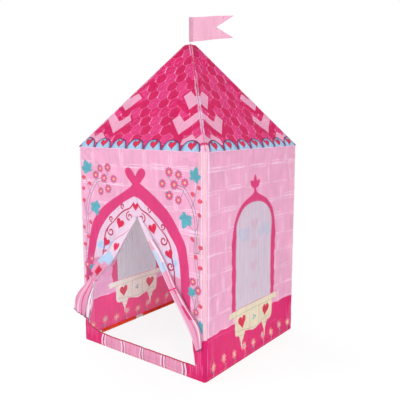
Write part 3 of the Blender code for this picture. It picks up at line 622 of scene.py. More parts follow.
def door_sill():
    """Deep ends with painted crease highlights, and pale paving along the sill."""
    ends = [
        (-HALF, -0.01), (HALF, -0.01), (HALF, 0.19), (0.27, 0.205), (0.27, 0.07), (-0.27, 0.07), (-0.33, 0.2),
        (-HALF, 0.196),
    ]
    yield ends, "deep"
    # pale upright strokes near the ends: painted highlights of creases
    yield from painted_end_highlights(16, 0.011, 0.01, 0.08, 0.1, 0.992, 9)
    yield mm(-269, -10, 288, -10, 284, 80, -266, 80), "paving"
    for index in range(13):
        x = -0.24 + 0.043 * index
        points = [(x, -0.002), (x + 0.008 * (chance(index, 5, 1) - 0.5), 0.04), (x, 0.078)]
        yield drawn(points, 0.0024, "rose" if index % 3 == 1 else "strip", 0.6, 4)
    for up, ink in ((0.018, "strip"), (0.034, "zigzag"), (0.052, "zigzag")):
        yield drawn([(-0.266, up), (0.0, up + 0.002), (0.285, up)], 0.0016, ink)
    for index, x in enumerate((-0.258, -0.124, 0.008, 0.145, 0.268)):
        bend = 0.014 * (chance(index, 5, 1) - 0.5)
        line = curve([(x, -0.002), (x + bend, 0.03), (x - bend * 0.6, 0.078)], 4)
        for shift, wide, ink in (
            (0.0, 0.009, "white"), (0.0055, 0.0034, "plum"), (0.012, 0.0055, "rose"), (0.02, 0.0095, "white"),
            (0.0262, 0.0034, "plum"),
        ):
            yield drawn([(a + shift * (1 - 3 * b), b) for a, b in line], wide, ink)


def window_frame():
    """A window's frame with its bud on top, and the box on two corbels below it."""
    rugged = [(0.0055 * (k % 2), 0.27 + 0.034 * k) for k in range(11)]
    outer = [(-0.186, 0.24), *[(-0.19 - out, up) for out, up in rugged]]
    outer += mm(
        -186, 655, -166, 712, -116, 762, -70, 786, -34, 802, -13, 815, -10, 835, 10, 835, 13, 815, 34, 802,
        70, 788, 116, 766, 166, 716, 188, 655,
    )
    outer += [(0.196 + out, up) for out, up in reversed(rugged)] + [(0.196, 0.24)]
    yield curve(outer, 3), "rose"
    yield leaf(0.0, 0.826, 0.074, 0.032, 90), "rose"
    for turn in (140, 40):
        yield leaf(0.0, 0.832, 0.06, 0.03, turn), "rose"
    half = mm(27, 150, 25, 128, 17, 121, 15, 108, 6, 98, 4, 78, 0, 52)
    for middle in (-0.106, 0.106):
        cone = half + [(-x, y) for x, y in reversed(half[:-1])]
        yield [(middle + x, y) for x, y in cone], "cream"
        for low, wide in ((0.128, 0.023), (0.108, 0.013)):
            yield drawn([(middle - wide, low), (middle + wide, low)], 0.0018, "ochre")
    box = mm(
        -160, 238, -160, 146, -128, 132, -92, 142, -46, 136, 0, 124, 46, 136, 100, 142, 140, 134, 170, 148,
        180, 238,
    )
    yield curve(box, 3), "cream"
    yield drawn(mm(-150, 156, -92, 152, 0, 138, 100, 152, 162, 158), 0.002, "ochre", 0, 4)
    for x in (-0.04, 0.046):
        yield drawn([(x, 0.236), (x + 0.003, 0.18), (x, 0.142)], 0.0022, "ochre", 0, 3)
    for x in (-0.102, 0.114):
        yield heart(x, 0.192, 0.062, 0.066, -x * 50), "red"
    for turn in (0, 120, 240):
        yield oval(*away(0.003, 0.19, 0.008, turn), 0.008, 0.006, turn, 10), "teal"
    ledge = mm(-196, 232, 0, 236, 206, 231, 224, 244, 210, 262, 0, 263, -186, 263, -208, 250)
    yield oval(0.003, 0.19, 0.005, 0.005), "yellow"
    yield curve(ledge, 3, True), "cream"
    yield drawn(mm(-198, 234, 0, 238, 208, 233), 0.0022, "ochre")


def foot_daisies():
    """A row of small pale daisies in the band along the foot."""
    for index in range(9):
        x, y, odd = -0.342 + 0.0855 * index, 0.056 + 0.012 * (index % 2), index % 2
        yield drawn([(x - 0.004, 0.012), (x + 0.003, 0.03), (x, y)], 0.0024, "peach", 0, 4)
        for turn in range(12 * index, 12 * index + 360, 60):
            across, up = 0.0125 * cos(radians(turn)), 0.0125 * sin(radians(turn))
            yield oval(x + across, y + up, 0.0088, 0.0054, turn, 10), "peach"
            yield oval(x + 1.1 * across, y + 1.1 * up, 0.0052, 0.0026, turn, 8), "rose"
        yield oval(x, y, 0.005, 0.005, 0, 10), "teal" if odd else "yellow"
        yield leaf(x + 0.002, 0.026, 0.022, 0.008, 40 if odd else 140), "stem"


def wall_prints(side):
    """The prints of one wall, from the lowest layer to the highest."""
    yield from brick_lines(2.0 + SIDES[side])
    if side == "front":
        yield from (*door_arch(), *garland(-1), *garland(1), *door_sill())
    else:
        yield from (*foot_band(0.205, 5.0 + SIDES[side]), *foot_daisies())
    if side in ("right", "left"):
        yield from window_frame()


def window_hole(inset=0.0):
    """The window's outline in its wall, drawn in by an inset: upright sides and a rounded head."""
    half, low, tall = WINDOW_HALF - inset, WINDOW_LOW + inset, WINDOW_TOP - inset - WINDOW_SPRING
    return [(-half, low), (half, low), *placed(ring_of(half, tall, 0, pi, 20, 1), 0, WINDOW_SPRING)]


# Door flaps, from the slit's top down. Each row gives, in thousandths, the inner edge as shares of the
# slit's half width and of its height, the outer edge the same way, and then the shares of the stand-off
# and of the pleats' depth.
LEFT_SHARES = mm(
    0, 985, 55, 1000, 0, 50, 175, 855, 285, 885, 0, 160, 345, 720, 475, 760, 0, 280, 480, 625, 655, 668, 20,
    400, 620, 550, 790, 585, 90, 460, 728, 500, 842, 522, 140, 460, 745, 475, 858, 497, 160, 460, 746, 405,
    954, 435, 450, 620, 745, 300, 1055, 350, 780, 850, 780, 205, 1085, 255, 1000, 1000, by=6,
)
RIGHT_SHARES = mm(
    20, 988, 50, 1000, 0, 100, 172, 860, 238, 880, 0, 550, 345, 722, 430, 748, 300, 800, 520, 568, 604, 592,
    1000, 800, 548, 545, 632, 569, 1000, 800, 690, 430, 795, 462, 400, 1000, 835, 312, 965, 352, 400, 1000,
    938, 201, 995, 222, 800, 900, by=6,
)
SLIT_TOP, SLIT_HALF, SILL = 0.708, HALF - CORNER, 0.066
FLAPS = {
    "left": {"side": -1, "shares": LEFT_SHARES, "layers": 3, "stand": 0.034, "depth": 0.014,
             "relief": 0.01, "soft": 3.2, "wide": 0.3, "tie": 0.6111, "long": 0.72},
    "right": {"side": 1, "shares": RIGHT_SHARES, "layers": 5, "stand": 0.0026, "depth": 0.0086,
              "relief": 0.0019, "soft": 2.2, "wide": 0.24, "tie": 0.5, "long": 0.66},
}


def along_table(values, place):
    """A smooth curve through values that are one apart, read at a place along them."""
    index = min(max(int(place), 0), len(values) - 2)
    t = place - index
    before, start = values[max(index - 1, 0)], values[index]
    end, beyond = values[index + 1], values[min(index + 2, len(values) - 1)]
    first, last = (end - before) / 2, (beyond - start) / 2
    return (
        start * (2 * t**3 - 3 * t * t + 1) + first * (t**3 - 2 * t * t + t)
        + end * (3 * t * t - 2 * t**3) + last * (t**3 - t * t)
    )


def flap_edges(flap, place):
    """Edges, stand-off and pleat depth of a flap at a place along its table."""
    in_x, in_z, out_x, out_z, off, fold = (along_table(column, place) for column in zip(*flap["shares"]))
    inner, outer = ((flap["side"] * x * SLIT_HALF, z * SLIT_TOP) for x, z in ((in_x, in_z), (out_x, out_z)))
    return inner, outer, off, fold


def flap_point(flap, share, place):
    """The cloth of a flap at a share from its inner to its outer edge and a place along it.

    Flat at the slit's top, it folds over itself further down, its layers stacked away from the wall.
    """
    inner, outer, off, fold = flap_edges(flap, place)
    turns = flap["layers"] * share
    across = share + (0.5 - 0.5 * cos(pi * turns) - share) * soft_step(place / 1.6)
    stack = 1 - share - 0.9 * sin(2 * pi * turns) / (2 * pi * flap["layers"])
    soft = ridge(across * flap["soft"] + 0.4 * sin(place * 0.9), place * 0.35, 2.7) - 0.3 * across
    soft += 0.5 * ripple(across * 6, place * 1.4, 7.7) + 0.5
    depth = HALF + 0.0011 + off * flap["stand"] + (0.12 + 0.88 * fold) * flap["depth"] * stack
    depth += max(soft, 0.0) * flap["relief"] * fold
    across += 0.05 * ripple(place * 1.3, across, 5.1) * fold
    x, z = (start + (end - start) * across for start, end in zip(inner, outer))
    return turned((x, -depth, z), 0)


def flap_surface(flap):
    """The flap's surface by panel coordinates, across to the right and up as seen from outside."""

    def surface(across, up):
        share = min(max(across / flap["wide"], 0.0), 1.0)
        place = (len(flap["shares"]) - 1) * (1 - min(max(up / flap["long"], 0.0), 1.0))
        return flap_point(flap, 1 - share if flap["side"] < 0 else share, place)

    return surface


def door_hole():
    """The open doorway in the front wall."""
    run, fall, crease_end = SLIT_HALF, SLIT_TOP - 0.1, 0.445
    size = hypot(run, fall)
    ease = 0.002 * size / fall
    turn_x = run * (SLIT_TOP - crease_end) / fall
    points = [(0.0, SLIT_TOP + 0.002 * size / run), (-turn_x - ease, crease_end)]
    for place in range(4, 10):
        inner, outer, _, _ = flap_edges(FLAPS["left"], place)
        points.append(((inner[0] + outer[0]) / 2, (inner[1] + outer[1]) / 2))
    for share in (step / 6 for step in range(7)):
        points.append((0.014 - run + 0.12 * share, SILL + 0.034 * (1 - share) ** 2))
    bend = run - 0.068
    return points + [(run - 0.041, SILL), (bend, SLIT_TOP - (bend - ease) * fall / run)]


# Roof


def roof_half(up):
    """Half of a roof panel's width at a distance up its slope."""
    return HALF - up * RUN


def roof_sag(quarter, across, up):
    """How far a roof panel's cloth stands out of its flat plane."""
    size, seed = sizes(), 11.0 + 5 * quarter
    hip = roof_half(up) - abs(across)
    free = soft_step((hip - 0.02) / 0.07) * soft_step((up - 0.03) / 0.07) * soft_step((SLANT - up) / 0.08)
    held = soft_step(hip / 0.01) * soft_step(up / 0.01) * soft_step((SLANT - up) / 0.01)
    sag = -1.2 * size.billow * free * (0.8 + 0.3 * ripple(across * 5, up * 4, seed))
    folds = 1.1 * ridge(up * 34 + 2 * ripple(hip * 20, 0, seed), across * 3, seed + 1) * exp(-hip / 0.03)
    folds += 0.8 * ridge(across * 28, up * 3, seed + 2) * exp(-up / 0.05)
    reach = SLANT - up + 0.02
    folds += 0.8 * sin(across / reach * 22 + seed) * exp(-reach / 0.22) * soft_step(reach / 0.08)
    folds += 0.7 * ridge(across * 8 - up * 5, up * 6 + across * 3, seed + 3)
    folds += 0.4 * ripple(across * 24, up * 20 + across * 9, seed + 4)
    return max(sag + size.pucker * (folds - 0.5 * free) * held, -0.0008 - 0.012 * free)


def roof_surface(side):
    """The middle of a roof panel's cloth."""
    quarter, thick = SIDES[side], sizes().cloth

    def surface(across, up):
        depth = roof_sag(quarter, across, up) - thick / 2
        return turned((across, -(HALF - up * RUN) - depth * RISE, EAVE + up * RISE + depth * RUN), quarter)

    return surface


def shingles():
    """Rows of rounded shingles in three tones, from the eave up."""
    wide, tall, gap, shape = 0.0625, 0.0515, 0.0036, []
    for angle in (pi * (1 + step / 8) for step in range(9)):
        x, y = cos(angle), sin(angle)
        shape.append((wide / 2 * x, 0.022 + 0.05 * x * wide + 0.024 * y))
    shape += [(wide / 2, tall + 0.012), (-wide / 2, tall + 0.012)]
    inner = [(x * (1 - gap / wide), y + gap * 0.5) for x, y in shape]
    for row in range(int(SLANT / tall) + 2):
        up = -0.022 + row * tall
        count = int((roof_half(max(up - tall, 0)) + wide) / wide) + 1
        for column in range(-count, count + 1):
            across = (column + 0.5 * (row % 2)) * wide + 0.004 * (chance(row, column, 6) - 0.5)
            place = (across, up + 0.003 * (chance(column, row, 2) - 0.5))
            luck = chance(row * 1.7, column * 2.3, 2.2)
            tone = "shingle" if luck > 0.55 else "shingle_mid" if luck > 0.34 else "shingle_light"
            yield placed(shape, *place), "shingle_seam"
            yield placed(inner, *place), tone
            for line in range(0 if tone == "shingle" else 3):
                x = wide * (-0.3 + 0.22 * line)
                points = [(x, 0.014 + 0.004 * line), (x + 0.01, 0.03), (x + 0.022, tall * 0.85)]
                ink = "shingle_mid" if line % 2 else "shingle_pale"
                yield placed(stroke(points, 0.0036, 0.8), *place), ink


def zigzags():
    """Pale zigzag blocks that meet across the hips, each with a deep outline, deep bands between, and painted
    crease highlights along the hips.
    """
    bands = [
        mm(100, 395, 205, 322, 215, 345, 110, 420),
        mm(105, 262, 205, 200, 340, 300, 340, 335, 205, 232, 110, 292),
        mm(118, 118, 212, 62, 370, 175, 370, 208, 212, 92, 122, 148),
    ]
    blocks = [
        mm(134, 303, 167, 331, 204, 300, 232, 300, 262, 290, 262, 258, 240, 258, 203, 226),
        mm(131, 168, 158, 199, 206, 159, 272, 212, 320, 240, 330, 170, 288, 169, 208, 88),
        mm(250, 30, 247, 62, 285, 93, 318, 64, 352, 100, 376, 50, 330, 30),
    ]
    rims = []
    for shape in blocks:
        x0, y0 = (sum(axis) / len(shape) for axis in zip(*shape))
        rims.append([(x0 + (x - x0) * 1.15, y0 + (y - y0) * 1.15) for x, y in shape])
    for flip in (-1, 1):
        for shapes, ink in ((bands + rims, "shingle"), (blocks, "zigzag")):
            yield from ((flipped(shape, flip), ink) for shape in shapes)
        # pale streaks along each hip: painted highlights of the creases there
        for index in range(16):
            start, line = 0.03 + 0.58 * chance(index, 4, flip), []
            for step in range(5):
                up = min(start + 0.022 * step, SLANT - 0.01)
                line.append((flip * (roof_half(up) - 0.003 - 0.007 * chance(index, step, 2)), up))
            yield drawn(line, 0.0022, "mist" if index % 3 else "zigzag", 0.8, 3)


def scallops(flip):
    """Seven scallops along the eave, each with a leaning heart, ending just short of one hip."""
    yield flipped(mm(366, -10, 410, -10, 376, 36, 364, 30), flip), "strip"
    pitch, tall, start = 0.1089, 0.059, -0.391
    lobe = mm(
        -500, -200, -500, 130, -450, 560, -320, 900, -110, 1000, 100, 930, 310, 700, 440, 360, 500, 140,
        500, -200,
    )
    outline = [(x * pitch, y * tall) for x, y in curve(lobe, 4)]
    for index in range(7):
        middle = flip * (start + pitch * (index + 0.5))
        for inset, ink in ((0.0, "plum"), (0.0078, "sky"), (0.017, "sky_pale")):
            shape = []
            for x, y in outline:
                shrink = 1 - inset / hypot(x, y + 0.004)
                shape.append((middle + flip * x * shrink, y * shrink if y > 0.004 else y))
            yield shape, ink
        for size, ink in ((0.044, "plum"), (0.0375, "red")):
            yield placed(flipped(heart(0, 0, size, 1.08 * size, 15), flip), middle, 0.0255), ink


# Materials


def feed(tree, node, values):
    """Sets a node's inputs, by name or number, to values or joins them to sockets."""
    for key, value in values.items():
        if isinstance(value, bpy.types.NodeSocket):
            tree.links.new(value, node.inputs[key])
        else:
            node.inputs[key].default_value = value


def add(tree, kind, values, **settings):
    """A shader node with its settings and inputs."""
    node = tree.nodes.new("ShaderNode" + kind)
    for key, value in settings.items():
        setattr(node, key, value)
    feed(tree, node, values)
    return node


def calc(tree, operation, *values):
    """The output of a Math node on sockets or plain numbers."""
    return add(tree, "Math", dict(enumerate(values)), operation=operation).outputs[0]


def print_place(tree):
    """A point's place in the print's own coordinates."""
    return add(tree, "UVMap", {}, uv_map="print").outputs[0]


def solid_place(tree):
    """A point's place in its object's own space."""
    return add(tree, "TexCoord", {}).outputs["Object"]


def blotches(tree, place, scale, detail, stretch=None, kind="FBM"):
    """A Noise texture's value at a place."""
    if stretch:
        place = add(tree, "Mapping", {"Scale": stretch, "Vector": place}).outputs[0]
    values = {"Scale": scale, "Detail": detail, "Vector": place}
    return add(tree, "TexNoise", values, noise_type=kind).outputs["Fac"]


def scaled(tree, tone, level):
    """A colour made brighter or darker by a level."""
    return add(tree, "VectorMath", {0: tone, "Scale": level}, operation="SCALE").outputs[0]


def bump(tree, height, strength, distance, **under):
    """A normal bent by a height."""
    values = {"Strength": strength, "Distance": distance, "Height": height, **under}
    return add(tree, "Bump", values).outputs["Normal"]


def weave(tree, given):
    """Plain weave: threads over and under in the print's own coordinates."""
    split, waves = add(tree, "SeparateXYZ", {0: print_place(tree)}), []
    for axis in (0, 1):
        turns = calc(tree, "DIVIDE", split.outputs[axis], given["Pitch"])
        waves.append(calc(tree, "SINE", calc(tree, "MULTIPLY", turns, 2 * pi)))
    return {"Height": calc(tree, "MULTIPLY_ADD", calc(tree, "MULTIPLY", *waves), 0.5, 0.5)}


def printed_ink(tree, given):
    """Printed ink with soft blotches and brush streaks."""
    place, parts = print_place(tree), []
    for label, *look in (("Blotch", 9.0, 3.0), ("Streak", 60.0, 2.0, (1.0, 0.12, 1.0))):
        part = calc(tree, "SUBTRACT", blotches(tree, place, *look), 0.5)
        parts.append(calc(tree, "MULTIPLY", part, given[label]))
    return {"Color": scaled(tree, given["Ink"], calc(tree, "ADD", calc(tree, "ADD", *parts), 1.0))}


def creases(tree, given):
    """Fine creases left from folding and packing."""
    return {"Height": blotches(tree, print_place(tree), given["Scale"], 3.0, kind="RIDGED_MULTIFRACTAL")}


def grain(tree, given):
    """Fine grain and faint scuffs of moulded or drawn plastic."""
    place = solid_place(tree)
    scuff = blotches(tree, place, 24.0, 4.0)
    return {
        "Color": scaled(tree, given["Color"], calc(tree, "MULTIPLY_ADD", scuff, -0.1, 1.05)),
        "Roughness": calc(tree, "MULTIPLY_ADD", scuff, 0.22, 0.3),
        "Height": blotches(tree, place, given["Scale"], 2.0),
    }


# Shared effects: what fills each, its inputs with their defaults, and its outputs
GROUPS = {
    "Plain Weave": (weave, {"Pitch": 0.0011}, ("Height",)),
    "Printed Ink": (printed_ink, {"Ink": None, "Blotch": 0.1, "Streak": 0.06}, ("Color",)),
    "Packing Creases": (creases, {"Scale": 14.0}, ("Height",)),
    "Plastic Grain": (grain, {"Color": None, "Scale": 320.0}, ("Color", "Roughness", "Height")),
}


def effect(tree, name, values):
    """The outputs of a shared effect; its node group is built the first time it is asked for."""
    group = bpy.data.node_groups.get(name)
    if not group:
        fill, wanted, given = GROUPS[name]
        group = bpy.data.node_groups.new(name, "ShaderNodeTree")
        for way, labels in (("INPUT", wanted), ("OUTPUT", given)):
            for label in labels:
                kind = "NodeSocketColor" if label in ("Ink", "Color") else "NodeSocketFloat"
                socket = group.interface.new_socket(name=label, in_out=way, socket_type=kind)
                if kind == "NodeSocketFloat" and way == "INPUT":
                    socket.default_value = wanted[label]
        start, end = group.nodes.new("NodeGroupInput"), group.nodes.new("NodeGroupOutput")
        feed(group, end, fill(group, start.outputs))
    return add(tree, "Group", values, node_tree=group).outputs


def material(name, finish, *details, **look):
    """A material by name; the first time it is asked for, a finish gives its main shader's inputs."""
    found = bpy.data.materials.get(name)
    if not found:
        found = bpy.data.materials.new(name)
        found.use_nodes = True
        tree = found.node_tree
        feed(tree, tree.nodes["Principled BSDF"], finish(tree, *details, **look))
    return found


def mixed_in(tree, share, kind, values):
    """Mixes another shader into the surface by a share."""
    mix = add(tree, "MixShader", {"Fac": share, 1: tree.nodes["Principled BSDF"].outputs[0],
                                  2: add(tree, kind, values).outputs[0]})
    feed(tree, tree.nodes["Material Output"], {"Surface": mix.outputs[0]})


def cloth(tree, pitch=0.0011, threads=0.25, crease=0.8, blotch=0.24, streak=0.26, through=0.42, alpha=1.0):
    """Thin printed cloth that lets some light through, inked by its faces."""
    ink = add(tree, "Attribute", {}, attribute_name="ink").outputs["Color"]
    tone = effect(tree, "Printed Ink", {"Blotch": blotch, "Streak": streak, "Ink": ink})["Color"]
    folds = bump(tree, effect(tree, "Packing Creases", {})["Height"], crease, 0.0045)
    woven = effect(tree, "Plain Weave", {"Pitch": pitch})["Height"]
    if through:
        pale = add(tree, "Mix", {"Factor": 0.5, "B": (0.95, 0.93, 0.95, 1.0), "A": tone}, data_type="RGBA")
        mixed_in(tree, through, "BsdfTranslucent", {"Color": pale.outputs["Result"]})
    return {
        "Base Color": tone, "Roughness": 0.6, "Sheen Weight": 0.03, "Sheen Roughness": 0.4, "Alpha": alpha,
        "Specular IOR Level": 0.22, "Normal": bump(tree, woven, threads, 0.0003, Normal=folds),
    }


def tape():
    """The narrow woven tape of the ties and loops."""
    return material("printed_tie_tape", cloth, pitch=0.0016, threads=0.8, crease=0.1, through=0.0)


def plastic(tree, tone, scale, depth):
    """White plastic with a fine grain."""
    moulded = effect(tree, "Plastic Grain", {"Color": (*tone, 1.0), "Scale": scale})
    return {
        "Base Color": moulded["Color"], "Roughness": moulded["Roughness"], "Specular IOR Level": 0.45,
        "Normal": bump(tree, moulded["Height"], 0.35, depth),
    }


def cord(tree, tone):
    """Twisted thread or piping of one colour."""
    twist = blotches(tree, solid_place(tree), 420.0, 2.0)
    dark, light = ((*[min(1.0, part * more) for part in tone], 1.0) for more in (0.82, 1.1))
    mix = add(tree, "Mix", {"Factor": twist, "A": dark, "B": light}, data_type="RGBA")
    return {
        "Base Color": mix.outputs["Result"], "Normal": bump(tree, twist, 0.4, 0.0002), "Roughness": 0.7,
        "Sheen Weight": 0.2,
    }


def seen(tree):
    """1 where a ray shows the backdrop itself, and 0 where it only lights other things."""
    rays = add(tree, "LightPath", {}).outputs
    straight = calc(tree, "MAXIMUM", rays["Is Camera Ray"], rays["Is Glossy Ray"])
    return calc(tree, "MAXIMUM", straight, rays["Is Transmission Ray"])


def floor_finish(tree):
    """White floor that keeps the tent's shadow near it and fades into the backdrop."""
    far = add(tree, "VectorMath", {0: solid_place(tree)}, operation="LENGTH").outputs["Value"]
    fade = add(
        tree, "MapRange", {"From Min": 0.5, "From Max": 1.8, "To Min": 0.86, "To Max": 1.0, "Value": far},
        interpolation_type="SMOOTHSTEP",
    )
    mixed_in(tree, calc(tree, "MULTIPLY", seen(tree), fade.outputs["Result"]), "Emission", {})
    return {"Base Color": (0.93, 0.93, 0.93, 1), "Roughness": 0.9}


# Small sewn pieces


def tube(name, path, radius):
    """A round cord of mesh along a path."""
    verts, faces, across, last, sides = [], [], None, len(path) - 1, 8
    for index, point in enumerate(path):
        along = path[min(index + 1, last)] - path[max(index - 1, 0)]
        along.normalize()
        across = across or along.orthogonal()
        across = (across - along * across.dot(along)).normalized()
        other = along.cross(across)
        for x, y in ring_of(1, 1, 0, 2 * pi, sides):
            verts.append(point + (across * x + other * y) * radius)
    for here in range(0, last * sides, sides):
        for side in range(sides):
            after = (side + 1) % sides
            faces.append((here + side, here + after, here + sides + after, here + sides + side))
    faces += [tuple(reversed(range(sides))), tuple(range(last * sides, (last + 1) * sides))]
    return mesh_piece(name, verts, faces)


def stitches(name, rows):
    """Stitches along rows of (point, normal), each a small rounded bar lying on the cloth."""
    size, verts, faces = sizes(), [], []
    rings = ((0.0, 0.1, 0.5), (0.25, 1.0, 1.0), (0.75, 1.0, 1.0), (1.0, 0.1, 0.5))
    for row in rows:
        walked, start = 0.0, None
        for (here, normal), (after, _) in zip(row, row[1:]):
            walked += (after - here).length
            if start is None and walked >= size.stitch * 0.6:
                start, walked = here, 0.0
            elif start is not None and walked >= size.stitch:
                side = (after - start).normalized().cross(normal).normalized() * size.thread
                rise, base = normal * size.thread, len(verts)
                for share, lift, wide in rings:
                    middle = start.lerp(after, share)
                    verts += [middle + side * wide, middle + rise * 1.6 * lift, middle - side * wide]
                for low in (base, base + 3, base + 6):
                    for index, other in ((0, 1), (1, 2), (2, 0)):
                        faces.append((low + index, low + 3 + index, low + 3 + other, low + other))
                faces += [(base, base + 1, base + 2), (base + 11, base + 10, base + 9)]
                start, walked = None, 0.0
    return mesh_piece(name, verts, faces)


def on_surface(surface, line, spacing, lift):
    """Points and normals along a line drawn on a surface, at a spacing and lifted off it."""
    row, near = [], 0.0005
    for x, y in spaced(line, spacing):
        along = surface(x + near, y) - surface(x - near, y)
        above = surface(x, y + near) - surface(x, y - near)
        normal = along.cross(above).normalized()
        row.append((surface(x, y) + normal * lift, normal))
    return row


def teardrop(radius, reach, tail):
    """A path in plan that leaves a seam, goes round a pole at the origin and comes back, then runs on.

    Returns points from the seam's far layer, round the pole, to the end of the tail along +X.
    """
    spread = acos(radius / reach)
    points = [(reach, 0.0004), *ring_of(radius, radius, spread, 2 * pi - 2 * spread, 20, 1), (reach, -0.0008)]
    return points + [(reach + 0.004, -0.0002), (tail, 0.0)] if tail else points


def path_reader(points):
    """A function from a distance along points to a place in plan, and the whole length."""
    marks = [0.0]
    for (x0, y0), (x1, y1) in zip(points, points[1:]):
        marks.append(marks[-1] + hypot(x1 - x0, y1 - y0))

    def read(distance):
        distance = min(max(distance, 0.0), marks[-1] - 1e-9)
        index = max(k for k in range(len(marks) - 1) if marks[k] <= distance)
        share = (distance - marks[index]) / (marks[index + 1] - marks[index])
        (x0, y0), (x1, y1) = points[index], points[index + 1]
        return x0 + (x1 - x0) * share, y0 + (y1 - y0) * share

    return read, marks[-1]


# Operators


class TENT_OT_walls(bpy.types.Operator):
    """Cut and print the four walls"""

    bl_idname = "tent.walls"
    bl_label = "Walls"

    def execute(self, context):
        size, wall_cloth = sizes(), material("printed_wall_cloth", cloth)
        # the window boxes and foot band take lighter inks on their inner faces: painted light inside the tent
        lit_inside_inks = {"cream": "cream_lit_inside", "deep": "deep_lit_inside"}
        outline = rectangle(-WALL_HALF, WALL_LOW, WALL_HALF, WALL_HIGH)
        width, tall, hem = 2 * WALL_HALF, WALL_HIGH - WALL_LOW, 0.012
        for side in SIDES:
            holes = {"front": [door_hole()], "back": []}.get(side, [window_hole()])
            piece = cloth_piece(
                f"wall_{side}_cloth", wall_surface(side), outline, "wall", wall_prints(side), holes,
                step=size.step, thick=size.cloth,
                back_ink=lambda ink, place: "hem" if place[1] < hem else lit_inside_inks.get(ink, ink),
            )
            dress(piece, wall_cloth, "tent", "wall_cloth", f"wall_{side}")
        return {"FINISHED"}


class TENT_OT_corner_strips(bpy.types.Operator):
    """Wrap the rounded strips round the uprights"""

    bl_idname = "tent.corner_strips"
    bl_label = "Corner strips"

    def execute(self, context):
        size, middle, wide = sizes(), HALF - CORNER, CORNER * pi / 2
        strip_cloth = material("printed_wall_cloth", cloth)
        prints = [(rectangle(-0.5 * wide, -1, 0.5 * wide, 0.198), "deep")]
        lines = ((-0.0052, 0.0012, "brick"), (0.0006, 0.0016, "yellow"), (0.0062, 0.0012, "brick"))
        prints += [drawn([(across, 0.2), (across, 1.1)], width, ink) for across, width, ink in lines]
        for corner, quarter in CORNERS.items():

            def surface(across, up):
                angle = across / CORNER - pi / 4
                mask = soft_step((wide / 2 - abs(across)) / 0.006)
                radius = CORNER - size.cloth / 2
                radius += 0.0016 * mask * (ridge(across * 100, up * 12, 4.0 + quarter) - 0.2)
                radius += 0.0008 * mask * ripple(across * 30, up * 60, 6.0 + quarter)
                return turned((middle + radius * cos(angle), -middle + radius * sin(angle), up), quarter)

            # the pale strip ground is partly the strip's own colour and partly a painted highlight round the
            # upright
            piece = cloth_piece(
                f"corner_strip_{corner}_cloth", surface, rectangle(-wide / 2, WALL_LOW, wide / 2, WALL_HIGH),
                "strip", prints, step=0.0036, thick=size.cloth, stretch=3.0,
            )
            dress(piece, strip_cloth, "tent", "wall_cloth", f"corner_strip_{corner}")
        return {"FINISHED"}


class TENT_OT_roof(bpy.types.Operator):
    """Cut and print the four roof panels and the patch at the peak"""

    bl_idname = "tent.roof"
    bl_label = "Roof"

    def execute(self, context):
        size, roof_cloth = sizes(), material("printed_roof_cloth", cloth, blotch=0.3, streak=0.3)
        foot, head = HALF - SEAM_GAP, CAP_HALF - SEAM_GAP
        outline = [(-foot, 0), (foot, 0), (head, SLANT), (-head, SLANT)]
        for side in SIDES:
            prints = (*shingles(), *zigzags(), *scallops(-1 if side in ("right", "left") else 1))
            piece = cloth_piece(
                f"roof_{side}_cloth", roof_surface(side), outline, "strip", prints, step=size.step,
                thick=size.cloth,
            )
            dress(piece, roof_cloth, "tent", "roof_cloth", f"roof_{side}")

        def patch(across, up):
            fall = 0.0012 * max(abs(across), abs(up)) / CAP_HALF
            return Vector((across, TENT_Y + up, PEAK - size.cloth / 2 - 0.0002 - fall))

        half = CAP_HALF - 0.001
        seam = drawn([(-half * 0.8, -half * 0.8), (half * 0.8, -half * 0.8)], 0.0014, "shingle_seam")
        piece = cloth_piece(
            "roof_cap_cloth", patch, rectangle(-half, -half, half, half), "shingle", [seam],
            [oval(0, 0, 0.0049, 0.0049, 0, 16)], step=size.fine_step, thick=size.cloth,
        )
        dress(piece, roof_cloth, "tent", "roof_cloth", "roof_cap")
        return {"FINISHED"}


class TENT_OT_window_nets(bpy.types.Operator):
    """Hang the two window nets"""

    bl_idname = "tent.window_nets"
    bl_label = "Window nets"

    def execute(self, context):
        size = sizes()
        look = {"pitch": 0.0018, "threads": 0.6, "crease": 0.2, "blotch": 0.05, "through": 0.5, "alpha": 0.86}
        net = material("window_net_cloth", cloth, **look)
        haze = mm(
            -118, 630, 34, 22, -86, 604, 36, 20, -60, 632, 26, 16, 60, 610, 30, 20, 100, 628, 36, 24, 122,
            600, 26, 20, by=4,
        )
        prints = [(oval(x, y, wide, tall, 0, 20), "net_haze") for x, y, wide, tall in haze]
        for index in range(9):
            x = -0.03 + 0.008 * index
            low, high = 0.275 + 0.02 * chance(index, 1), 0.5 + 0.06 * chance(index, 2)
            prints.append(drawn([(x, low), (x + 0.002, 0.42), (x, high)], 0.001, "net_haze", 0, 4))
        for up, wide, turn in ((0.655, 0.066, 4), (0.555, 0.06, -4), (0.445, 0.066, 4), (0.345, 0.06, -4)):
            prints.append((heart(0.0, up, wide, wide * 0.92, turn), "net_heart"))
        for side in ("right", "left"):
            wall = wall_surface(side)
            out = turned((0, -1, 0), SIDES[side]) - turned((0, 0, 0), SIDES[side])

            def surface(across, up):
                rise = max(up - WINDOW_SPRING, 0) / (WINDOW_TOP - WINDOW_SPRING + 0.0001)
                edge = min(WINDOW_HALF * sqrt(max(1 - rise**2, 0)) - abs(across), up - WINDOW_LOW)
                wave = sin(across * 2 * pi / 0.0155 + 0.8 * ripple(across * 20, up * 3, 1.5))
                depth = 0.0016 * wave * (0.7 + 0.3 * ripple(across * 30, up * 2, 6.5))
                return wall(across, up) + out * (depth - 0.001) * soft_step(edge / 0.02)

            # the inner face of each net takes a grey ink: painted shade
            piece = cloth_piece(
                f"window_net_{side}_cloth", surface, window_hole(SEAM_GAP), "net", prints, step=0.003,
                thick=size.net, back=0.0, back_ink=lambda ink, place: "net_back", stretch=3.0,
            )
            dress(piece, net, "tent", "window_net", f"window_net_{side}")
        return {"FINISHED"}


